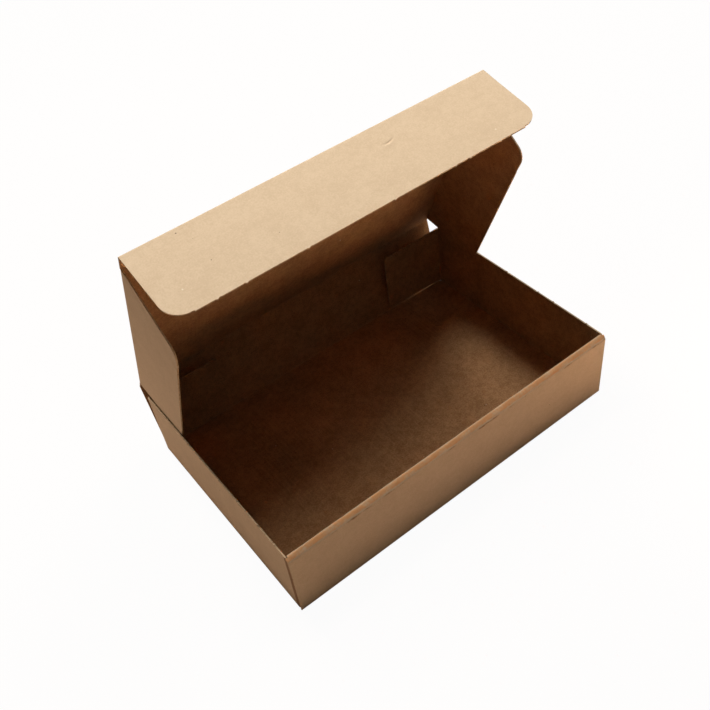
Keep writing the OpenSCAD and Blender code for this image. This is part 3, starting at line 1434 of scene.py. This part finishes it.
def rounded_crease(
    plan: Plan,
    axis: np.ndarray,
    before: np.ndarray,
    after: np.ndarray,
    halves: tuple[float, float],
    blank_axis: float,
) -> Sheet:
    """A crease whose axis lies in the middle of the board, across the whole width.

    The middle of the board runs in along one panel, turns on the arc that touches
    both panels at the stub's length from the axis, and runs out along the other.

    Args:
        plan: The carton's sizes.
        axis: A point on the crease's axis.
        before: Direction along the first panel, towards the crease.
        after: Direction along the second panel, away from it.
        halves: Half the width at the first and at the second panel.
        blank_axis: Place of its axis on the flat blank.

    Returns:
        The crease as a sheet whose ends are folds.
    """
    angle = math.atan2(float(np.cross(before, after) @ X), float(before @ after))
    radius = STUB / math.tan(abs(angle) / 2)
    heading = math.atan2(before[2], before[1])
    start = axis - STUB * before
    moves = [Move(radius * abs(angle), angle, 12)]
    points, headings, along = bent_line((start[1], start[2]), heading, moves)
    half = halves[0] + (halves[1] - halves[0]) * smooth(along / along[-1])
    share = np.linspace(0, 1, 60)
    side = -1 if angle > 0 else 1
    mid, outward, wide = swept((points, headings), (Y, Z, X), -half, half, share, side)
    line = (along - along[-1] / 2)[:, None]
    return Sheet(
        mid,
        outward,
        (wide, (blank_axis - STUB + along)[:, None]),
        plan.board,
        folds=frozenset({Border.U_START, Border.U_END}),
        inner_relief=press(line, 0.18 * MM, 0.03 * MM),
    )


def hinged_crease(
    plan: Plan,
    axis: np.ndarray,
    before: np.ndarray,
    after: np.ndarray,
    places: np.ndarray,
    run: np.ndarray,
    blank: Callable[[np.ndarray, np.ndarray], tuple[np.ndarray, np.ndarray]],
) -> Sheet:
    """A square crease that turns about the inner edge of the fold.

    It is a quarter of a ring round the axis: the middle lies at the axis plus the
    bend's radius times (cos a before + sin a after), with a from 0 to a right angle.

    Args:
        plan: The carton's sizes.
        axis: A point on the crease's axis.
        before: Direction from the axis to the first panel's outer face.
        after: Direction from the axis to the second panel's outer face.
        places: Distances along the crease.
        run: Direction along the crease.
        blank: Gives the place on the flat blank from the length turned and the place.

    Returns:
        The crease as a sheet whose ends are folds.
    """
    inner_r = 0.04 * MM
    board = plan.board - inner_r
    radius = inner_r + board / 2
    angle = np.linspace(0, math.pi / 2, 9)
    out = np.cos(angle)[:, None] * before + np.sin(angle)[:, None] * after
    mid = (axis + radius * out)[:, None, :] + places[None, :, None] * run
    turned = radius * angle[:, None] * np.ones(len(places))
    return Sheet(
        mid,
        out[:, None, :],
        blank(turned, places),
        board,
        folds=frozenset({Border.U_START, Border.U_END}),
        worn=0.2 * np.sin(2 * angle)[:, None],
    )


@dataclass
class BackWall:
    """The back wall, with the creases below and above it.

    Attributes:
        plan: The carton's sizes.
        finishes: The board's materials.
        bow: Its bow.
        wear: Rubbing along its creases.
    """

    plan: Plan
    finishes: Finishes
    bow: Bow = Bow(0.12 * MM, 70 * MM, 8 * MM, 21)
    wear: Wear = Wear(0.25, 0.8 * MM)

    def build(self) -> None:
        """Builds the wall and its two creases."""
        plan = self.plan
        wall = self.panel()
        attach(wall, "back_wall")
        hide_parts("back_wall")
        away, blank_y = plan.wall_away, plan.base_axis[1]
        halves = (plan.side_in, plan.side_in)
        low = rounded_crease(plan, plan.base_axis, Y, away, halves, blank_y)
        low = low.to_object("base_back_crease", self.finishes, rounded=False)
        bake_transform(low)
        halves, blank_y = (plan.side_in, plan.lid_half), blank_y + plan.wall_l
        high = rounded_crease(plan, plan.lid_axis, away, plan.lid_away, halves, blank_y)
        high = high.to_object("lid_hinge_crease", self.finishes, rounded=False)
        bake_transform(high)

    def panel(self) -> bpy.types.Object:
        """The flat wall, with a slight bow between its two creases."""
        plan = self.plan
        x = stations(-plan.side_in, plan.side_in, step=2 * MM)
        d = around(STUB, plan.wall_l - STUB, 0.3 * MM, 1.8 * MM, 1.5 * MM)
        away, outward = plan.wall_away, np.cross(plan.wall_away, X)
        across, up = np.meshgrid(x, d, indexing="ij")
        from_base, from_lid = up - STUB, plan.wall_l - STUB - up
        bow = self.bow.at(across, up, from_base, from_lid)
        near = np.minimum(from_base, from_lid)
        sheet = Sheet(
            laid(plan.base_axis, (across, X), (up, away), (bow, outward)),
            outward,
            (across, plan.base_axis[1] + up),
            plan.board,
            folds=frozenset({Border.V_START, Border.V_END}),
            inner_relief=rule(near, 0.6 * MM),
            worn=self.wear.at(near),
        )
        return sheet.to_object("back_wall_panel", self.finishes)


@dataclass
class Lid:
    """The lid's flat panel and the creases of its ears.

    Attributes:
        plan: The carton's sizes.
        finishes: The board's materials.
        bow: Its bow.
        wear: Rubbing along its creases.
        step: Spacing of its grid.
        fine_step: Spacing of the grid near its creases.
        ear_start: Distance from the hinge to the root of an ear.
        ear_end: Distance from the hinge to the front end of an ear's root.
    """

    plan: Plan
    finishes: Finishes
    bow: Bow = Bow(0.16 * MM, 75 * MM, 10 * MM, 31)
    wear: Wear = Wear(0.25, 0.8 * MM)
    step: float = 1.9 * MM
    fine_step: float = 0.4 * MM
    ear_start: float = 0.0
    ear_end: float = 0.0

    def __post_init__(self) -> None:
        """Reads the ear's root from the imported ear."""
        self.ear_start = -reach("right_ear", self.root, -self.plan.lid_away)
        self.ear_end = reach("right_ear", self.root, self.plan.lid_away)

    @property
    def root(self) -> np.ndarray:
        """A point on the lid's inner face, below its hinge's axis."""
        return self.plan.lid_axis - self.plan.lid_outer * self.plan.half_board

    @property
    def ear_x(self) -> float:
        """Distance from the middle to the inner face of an ear."""
        return self.plan.lid_half - self.plan.board

    @property
    def blank_hinge(self) -> float:
        """Place of the lid's hinge on the flat blank."""
        return self.plan.base_axis[1] + self.plan.wall_l

    def build(self) -> None:
        """Builds the panel and the two ears' creases."""
        panel = self.panel()
        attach(panel, "lid")
        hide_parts("lid_panel")
        for hand in Hand:
            crease = self.ear_crease(hand)
            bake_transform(crease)

    def panel(self) -> bpy.types.Object:
        """The flat lid, cut back at the sides where the ears' creases take over."""
        plan = self.plan
        x = stations(-plan.lid_half, -self.ear_x, self.ear_x, plan.lid_half, step=self.step)
        end = plan.lid_l - STUB
        d = joined(
            stations(STUB, self.ear_start, step=self.fine_step),
            stations(self.ear_start, self.ear_end, step=self.step),
            stations(self.ear_end, end - 2 * MM, end, step=self.fine_step),
        )
        across, up = np.meshgrid(x, d, indexing="ij")
        edges = (up - STUB, end - up, self.ear_x - np.abs(across))
        bow = self.bow.at(across, up, *edges)
        cell_d, cell_x = (d[1:] + d[:-1]) / 2, (x[1:] + x[:-1]) / 2
        by_ear = (cell_d > self.ear_start) & (cell_d < self.ear_end)
        near = np.minimum.reduce(edges)
        sheet = Sheet(
            laid(plan.lid_axis, (across, X), (up, plan.lid_away), (bow, plan.lid_outer)),
            plan.lid_outer,
            (across, self.blank_hinge + up),
            plan.board,
            ~((np.abs(cell_x) > self.ear_x)[:, None] & by_ear[None, :]),
            frozenset({Border.V_START, Border.V_END}),
            inner_relief=rule(near, 0.6 * MM),
            worn=self.wear.at(near),
        )
        return sheet.to_object("lid_top_panel", self.finishes)

    def ear_crease(self, hand: Hand) -> bpy.types.Object:
        """The crease between the lid and an ear."""
        plan = self.plan
        axis = self.root + hand * self.ear_x * X
        places = stations(self.ear_start, self.ear_end, step=2 * MM)
        sheet = hinged_crease(
            plan,
            axis,
            plan.lid_outer,
            hand * X,
            places,
            plan.lid_away,
            lambda turned, d: (hand * (self.ear_x + turned), self.blank_hinge + d),
        )
        return sheet.to_object(f"{hand.word}_ear_crease", self.finishes, rounded=False)


@dataclass
class Ear:
    """A lid ear, which stands square to the lid just inside the side wall.

    Attributes:
        lid: The lid that it is part of.
        hand: Its side.
        slant: Slant of its two end edges.
        front_r: Corner radius at its front.
        back_r: Corner radius at its back.
        step: Spacing of its rows.
        rounded: Height of its lower part, where the rows lie closer together.
        bow: Its bow.
        fold_depth: Depth of the soft bend across its front corner.
        fold_width: Width of that bend.
        fold_place: Where the bend meets the free edge, from the front end's root.
        fold_turn: Angle of the bend to the ear's ends.
        fold_fade: Distance from the lid over which the bend grows.
        wear: Rubbing along its free edges.
    """

    lid: Lid
    hand: Hand
    slant: float = math.radians(15)
    front_r: float = 6 * MM
    back_r: float = 3 * MM
    step: float = 1.4 * MM
    rounded: float = 7 * MM
    bow: Bow = Bow(0.07 * MM, 40 * MM, 8 * MM, 41, shift=0.6)
    fold_depth: float = 0.30 * MM
    fold_width: float = 1.3 * MM
    fold_place: float = 17 * MM
    fold_turn: float = 0.5
    fold_fade: float = 10 * MM
    wear: Wear = Wear(0.15, 0.6 * MM)

    def build(self) -> None:
        """Builds the ear.

        Its two ends lean in by the slant. Near its free edge each end is rounded: the
        end moves in by the radius less the half chord, root(r^2 - h^2), of a corner
        circle, scaled to the slanted corner.
        """
        lid, plan, hand = self.lid, self.lid.plan, self.hand
        depth = reach("right_ear", lid.root, -plan.lid_outer)
        lower = depth - self.rounded
        rows = depth - self.rounded * (1 - np.linspace(0, 1, 26)) ** 2
        h = joined(stations(0, lower, step=self.step), rows)
        low = lid.ear_start + self._end(h, depth, self.back_r)
        high = lid.ear_end - self._end(h, depth, self.front_r)
        share = around(0, 1, 0.01, 0.022, 0.05)
        d = low[:, None] + (high - low)[:, None] * share
        down = np.broadcast_to(h[:, None], d.shape)
        fold = (d - lid.ear_end + self.fold_place) * math.cos(self.fold_turn)
        fold = fold + (down - depth) * math.sin(self.fold_turn)
        bow = self.bow.at(d, down, down, turn=hand)
        bow = bow + press(fold, self.fold_width, self.fold_depth) * smooth(down / self.fold_fade)
        rim = np.minimum(depth - down, np.minimum(d - low[:, None], high[:, None] - d))
        out = lid.ear_x + plan.half_board + bow
        sheet = Sheet(
            laid(lid.root, (out, hand * X), (d, plan.lid_away), (-down, plan.lid_outer)),
            hand * X,
            (hand * (lid.ear_x + plan.board + down), lid.blank_hinge + d),
            plan.board,
            folds=frozenset({Border.U_START}),
            worn=self.wear.at(rim),
        )
        ear = sheet.to_object(f"{hand.word}_lid_ear", lid.finishes)
        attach(ear, f"{hand.word}_ear")
        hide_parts(f"{hand.word}_ear")

    def _end(self, h: np.ndarray, depth: float, r: float) -> np.ndarray:
        """How far an end edge lies in from its root, at each depth.

        The corner circle touches the slanted end and the free edge. Its centre is r
        above the free edge, and the end follows whichever lies further in.
        """
        lean = math.tan(self.slant)
        line = h * lean
        centre_h = depth - r
        centre = centre_h * lean + r / math.cos(self.slant)
        touch = centre_h + r * math.sin(self.slant)
        circle = centre - np.sqrt(np.clip(r**2 - (h - centre_h) ** 2, 0, None))
        return np.where(h > touch, circle, line)


@dataclass
class TuckFlap:
    """The flap on the lid's front fold, which goes in behind the front wall.

    Attributes:
        lid: The lid that it is part of.
        corner_r: Radius of its two corners.
        step: Step between a corner and the free edge.
        nicks: Marks that the die left along the free edge.
        dent_x: Place of the thumbnail dent along the flap.
        dent_d: Its distance from the fold.
        dent_r: Radius of its curve.
        dent_tilt: How much it runs towards the fold along the flap.
        dent_length: Half its length.
        dent_depth: Its depth.
        dent_width: Half its width.
        rim_height: Height of the raised rim beside it.
        rim_place: Distance of the rim from the dent.
        rim_width: Half the rim's width.
        gap: Half the width of the step itself.
        bow: The flap's bow.
        wear: Rubbing along its free edge.
        away: Direction along the flap, away from its fold.
        depth: Distance from its fold to its free edge.
    """

    lid: Lid
    corner_r: float = 7.2 * MM
    step: float = 0.8 * MM
    nicks: Nicks = Nicks(
        (-0.0600, -0.0495, -0.0262, 0.0088, 0.0353, 0.0419, 0.0560), height=0.30 * MM
    )
    dent_x: float = 23.6 * MM
    dent_d: float = 9.3 * MM
    dent_r: float = 7.0 * MM
    dent_tilt: float = 0.15
    dent_length: float = 2.3 * MM
    dent_depth: float = 0.26 * MM
    dent_width: float = 0.4 * MM
    rim_height: float = 0.10 * MM
    rim_place: float = 0.9 * MM
    rim_width: float = 0.6 * MM
    gap: float = 0.01 * MM
    bow: Bow = Bow(0.14 * MM, 55 * MM, 7 * MM, 51)
    wear: Wear = Wear(0.12, 0.5 * MM)
    away: np.ndarray = field(default_factory=lambda: np.zeros(3))
    depth: float = 0.0

    def __post_init__(self) -> None:
        """Finds the flap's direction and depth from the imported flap.

        The flap is a thin plate, so in the plane across the fold its vertices spread
        most along its direction, which is their first principal one.
        """
        plan = self.lid.plan
        off = (node_places("tuck_flap") - plan.tuck_axis)[:, 1:]
        spread = np.linalg.svd(off - off.mean(0), full_matrices=False)[2][0]
        away = np.array([0.0, *spread])
        self.away = away if off.mean(0) @ spread > 0 else -away
        self.depth = reach("tuck_flap", plan.tuck_axis, self.away)

    def build(self) -> None:
        """Builds the flap and the crease that joins it to the lid."""
        plan, lid = self.lid.plan, self.lid
        crease = rounded_crease(
            plan,
            plan.tuck_axis,
            plan.lid_away,
            self.away,
            (plan.lid_half, plan.lid_half),
            lid.blank_hinge + plan.lid_l,
        ).to_object("tuck_crease", lid.finishes, rounded=False)
        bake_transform(crease)
        flap = self.panel()
        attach(flap, "tuck_flap")
        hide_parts("tuck_flap")

    def _limit(self, x: np.ndarray) -> np.ndarray:
        """Depth of the flap at each place along it.

        It is the full depth between the two steps. Outside them it is one step less,
        and falls off on the corner's circle: centre + root(r^2 - (x - centre x)^2).
        """
        half, r = self.lid.plan.lid_half, self.corner_r
        step_x = half - r - self.step
        corner = self.depth - self.step
        out = np.clip(np.abs(x) - (half - r), 0, r)
        arc = corner - r + np.sqrt(np.clip(r**2 - out**2, 0, None))
        edge = self.depth - 0.06 * MM + self.nicks.at(x) - self.nicks.height
        return np.where(np.abs(x) < step_x, edge, arc)

    def panel(self) -> bpy.types.Object:
        """The flap's surface: each column runs from the fold to the flap's limit."""
        plan, lid = self.lid.plan, self.lid
        half, r = plan.lid_half, self.corner_r
        step_x = half - r - self.step
        edge = half - r * (1 - np.sin(np.linspace(0, math.pi / 2, 40)))
        steps = stations(self.gap - step_x, step_x - self.gap, step=0.3 * MM)
        x = np.concatenate([-edge[::-1], [-step_x - self.gap], steps, [step_x + self.gap], edge])
        limit = self._limit(x)
        near = (self.dent_d + np.array([-2.5, 2.0]) * MM) / self.depth
        share = joined(around(0, 1, 0.012, 0.045, 0.06), np.linspace(*near, 32))
        d = STUB + (limit - STUB)[:, None] * share
        across = np.broadcast_to(x[:, None], d.shape)
        outward = unit(np.cross(self.away, X))
        bow = self.bow.at(across, d, d - STUB)
        dx = across - self.dent_x
        dd = d - self.dent_d + self.dent_tilt * dx
        ring = np.hypot(dx, dd + self.dent_r) - self.dent_r
        rim = ring - self.rim_place
        dent = press(ring, self.dent_width, self.dent_depth)
        dent = dent + self.rim_height * bell(rim, self.rim_width)
        dent = dent * bell(dx, self.dent_length) * (dd + self.dent_r > 0)
        sheet = Sheet(
            laid(plan.tuck_axis, (across, X), (d, self.away), (bow + dent, outward)),
            outward,
            (across, lid.blank_hinge + plan.lid_l + d),
            plan.board,
            folds=frozenset({Border.V_START}),
            worn=self.wear.at(limit[:, None] - d),
        )
        return sheet.to_object("tuck_flap_panel", lid.finishes)


@dataclass
class BackFlap:
    """The flap that a side wall folds in along the back.

    Attributes:
        plan: The carton's sizes.
        finishes: The board's materials.
        hand: Its side.
        taper: How far its outer end is cut up along the bottom.
        corner_r: Radius of its outer corners.
        drop: How far its lower edge hangs below the solid's at the crease.
        bow: Its bow.
        wear: Rubbing along its free edges.
    """

    plan: Plan
    finishes: Finishes
    hand: Hand
    taper: float = 4 * MM
    corner_r: float = 1.5 * MM
    drop: float = 0.3 * MM
    bow: Bow = Bow(0.12 * MM, 40 * MM, 8 * MM, 61)
    wear: Wear = Wear(0.35, 0.6 * MM)

    def build(self) -> None:
        """Builds the flap and its crease."""
        plan, hand = self.plan, self.hand
        axis = np.array([hand * plan.side_in, plan.back_flap_y, 0.0])
        places = stations(plan.board + 0.05 * MM, plan.back_flap_top, step=2 * MM)
        crease = hinged_crease(
            plan,
            axis,
            hand * X,
            Y,
            places,
            Z,
            lambda turned, z: (hand * (plan.side_in + z), plan.back_flap_y + turned),
        ).to_object(f"{hand.word}_back_flap_crease", self.finishes, rounded=False)
        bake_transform(crease)
        flap = self.panel()
        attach(flap, f"{hand.word}_back_flap")
        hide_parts(f"{hand.word}_back_flap")

    def _round(self, s: np.ndarray, length: float) -> np.ndarray:
        """How much a rounded corner takes off the height near the outer end."""
        r = self.corner_r
        out = np.clip(s - (length - r), 0, r)
        return r - np.sqrt(np.clip(r**2 - out**2, 0, None))

    def panel(self) -> bpy.types.Object:
        """The flap's surface: each column runs between the lower and upper limits."""
        plan, hand = self.plan, self.hand
        length = plan.side_in - plan.back_flap_end
        start = length - self.corner_r
        rows = stations(0, length - 3 * MM, start, step=0.9 * MM)[:-1]
        turned = np.sin(np.linspace(0, math.pi / 2, 14))
        s = np.concatenate([rows, length - self.corner_r * (1 - turned)])
        corner = self._round(s, length)
        low = plan.flap_low - self.drop + self.taper * s / length + corner
        high = plan.back_flap_top - corner
        share = around(0, 1, 0.02, 0.06, 0.08)
        z = low[:, None] + (high - low)[:, None] * share
        run = np.broadcast_to(s[:, None], z.shape)
        bow = self.bow.at(run, z, run, turn=hand)
        across, along = hand * (plan.side_in - run), plan.back_flap_y + plan.half_board + bow
        rim = np.minimum(length - run, np.minimum(high[:, None] - z, z - low[:, None]))
        sheet = Sheet(
            laid(np.zeros(3), (across, X), (along, Y), (z, Z)),
            Y,
            (hand * (plan.side_in + z), plan.back_flap_y + plan.board + run),
            plan.board,
            folds=frozenset({Border.U_START}),
            worn=self.wear.at(rim),
        )
        return sheet.to_object(f"{hand.word}_back_flap_panel", self.finishes)


@dataclass(frozen=True)
class Lamp:
    """A soft rectangular studio lamp that points at its target.

    Attributes:
        name: The lamp's name.
        place: Where it hangs.
        target: The point that it faces.
        size: Its width and height.
        power: Its power in watts.
        colour: Its colour.
        spread: Angle of its beam, in degrees.
    """

    name: str
    place: tuple[float, float, float]
    target: tuple[float, float, float]
    size: tuple[float, float]
    power: float
    colour: tuple[float, float, float]
    spread: float = 180

    def build(self) -> None:
        """Adds the lamp, its face turned to its target."""
        light = bpy.data.lights.new(self.name, "AREA")
        light.shape = "RECTANGLE"
        light.size, light.size_y = self.size
        light.energy = self.power
        light.color = self.colour
        light.spread = math.radians(self.spread)
        lamp = bpy.data.objects.new(self.name, light)
        lamp.location = self.place
        aim = Vector(self.target) - Vector(self.place)
        lamp.rotation_euler = aim.to_track_quat("-Z", "Y").to_euler()
        bpy.context.scene.collection.objects.link(lamp)


DAYLIGHT, SOFT, WARM = (1.0, 0.99, 0.97), (1.0, 0.98, 0.95), (1.0, 0.87, 0.72)
# Beam of the two low lamps, in degrees, so that they light the floor alone.
NARROW = 50


@dataclass
class Studio:
    """The floor, the lamps, the surroundings and the camera.

    Attributes:
        lens: Focal length, in millimetres on the sensor's width.
        camera_place: Where the camera stands.
        looks: Direction in which the camera looks.
        image_right: Direction of the image's right side.
        sensor: Width of the camera's sensor, in millimetres.
        floor_half: Half the floor's width.
        floor_drop: How far the floor lies under the base.
        floor_paper: Colour of the light that the floor sends back.
        floor_white: How much of the floor the camera sees as white.
        room_colour: Colour of the light from the room.
        room_light: Strength of that light.
        lamps: The lamps.
    """

    lens: float = 45.45
    camera_place: tuple[float, float, float] = (-0.1343, -0.2069, 0.2879)
    looks: tuple[float, float, float] = (0.36741, 0.60262, -0.70842)
    image_right: tuple[float, float, float] = (0.78785, -0.60646, -0.10728)
    sensor: float = 36.0
    floor_half: float = 6.0
    floor_drop: float = 0.02 * MM
    floor_paper: tuple[float, float, float, float] = (0.78, 0.59, 0.46, 1)
    floor_white: float = 0.96
    room_colour: tuple[float, float, float, float] = (0.92, 0.95, 0.92, 1)
    room_light: float = 0.05
    lamps: tuple[Lamp, ...] = (
        Lamp("back_key", (-0.045, 0.406, 0.912), (0, 0, 0.05), (0.12, 0.34), 8.0, DAYLIGHT),
        Lamp("right_key", (0.48, 0.12, 0.87), (0, 0, 0.05), (0.44, 0.40), 4.5, (1.0, 0.97, 0.93)),
        Lamp("front_glow", (0.22, -0.19, 0.30), (0.22, -0.19, 0), (0.16, 0.12), 1.1, WARM, NARROW),
        Lamp("left_glow", (-0.22, 0.10, 0.30), (-0.22, 0.10, 0), (0.14, 0.14), 0.03, SOFT, NARROW),
    )

    def build(self) -> None:
        """Builds the whole studio."""
        self.floor()
        self.surroundings()
        for lamp in self.lamps:
            lamp.build()
        self.camera()
        bpy.context.scene.view_settings.view_transform = "Standard"

    def floor(self) -> None:
        """A wide pale floor just under the base, which the camera sees as near white."""
        mesh = bpy.data.meshes.new("studio_floor")
        corners = np.array([[-1, -1, 0], [1, -1, 0], [1, 1, 0], [-1, 1, 0]]) * self.floor_half
        corners[:, 2] = -self.floor_drop
        mesh.from_pydata(corners, [], [[0, 1, 2, 3]])
        floor = bpy.data.objects.new("studio_floor", mesh)
        bpy.context.scene.collection.objects.link(floor)
        material = bpy.data.materials.new("floor_paper")
        material.use_nodes = True
        graph = NodeGraph(material.node_tree)
        rays = graph.add("LightPath")
        white = graph.add("Emission", None, Color=(1, 1, 1, 1), Strength=1.0)
        paper = graph.add("BsdfDiffuse", None, Color=self.floor_paper)
        share = graph.maths("MULTIPLY", rays.outputs["Is Camera Ray"], self.floor_white)
        both = graph.add("MixShader", None, in0=share, in1=paper.outputs[0], in2=white.outputs[0])
        graph.add("OutputMaterial", None, Surface=both.outputs[0])
        mesh.materials.append(material)
        floor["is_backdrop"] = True

    def surroundings(self) -> None:
        """A dim room that the camera sees as white."""
        world = bpy.data.worlds.new("studio_room")
        world.use_nodes = True
        graph = NodeGraph(world.node_tree)
        rays = graph.add("LightPath")
        dim = graph.add("Background", None, Color=self.room_colour, Strength=self.room_light)
        white = graph.add("Background", None, Color=(1, 1, 1, 1), Strength=1.0)
        shades = {"in1": dim.outputs[0], "in2": white.outputs[0]}
        both = graph.add("MixShader", None, in0=rays.outputs["Is Camera Ray"], **shades)
        graph.add("OutputWorld", None, Surface=both.outputs[0])
        bpy.context.scene.world = world

    def camera(self) -> None:
        """The camera at the photograph's angle, from its look and right directions."""
        data = bpy.data.cameras.new("studio_camera")
        data.lens = self.lens
        data.sensor_width = self.sensor
        data.clip_start, data.clip_end = 0.01, 20.0
        camera = bpy.data.objects.new("studio_camera", data)
        back = -Vector(self.looks).normalized()
        right = Vector(self.image_right)
        right = (right - back * right.dot(back)).normalized()
        up = back.cross(right)
        turn = Matrix((right, up, back)).transposed().to_4x4()
        camera.matrix_world = Matrix.Translation(self.camera_place) @ turn
        bpy.context.scene.collection.objects.link(camera)
        bpy.context.scene.camera = camera


def main() -> None:
    """Builds the carton's pieces and the studio, and logs the box round the drawn pieces."""
    logging.basicConfig(level=logging.INFO, format="%(name)s %(message)s")
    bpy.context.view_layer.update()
    plan = Plan.from_frame()
    finishes = Finishes.make()
    Tray(plan, finishes).build()
    BackWall(plan, finishes).build()
    lid = Lid(plan, finishes)
    lid.build()
    TuckFlap(lid).build()
    for hand in Hand:
        Ear(lid, hand).build()
        BackFlap(plan, finishes, hand).build()
    Studio().build()
    low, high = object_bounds()
    corners = [[round(v / MM, 2) for v in corner] for corner in (low, high)]
    LOG.info("visual box %s to %s mm", *corners)


if __name__ == "__main__":
    main()
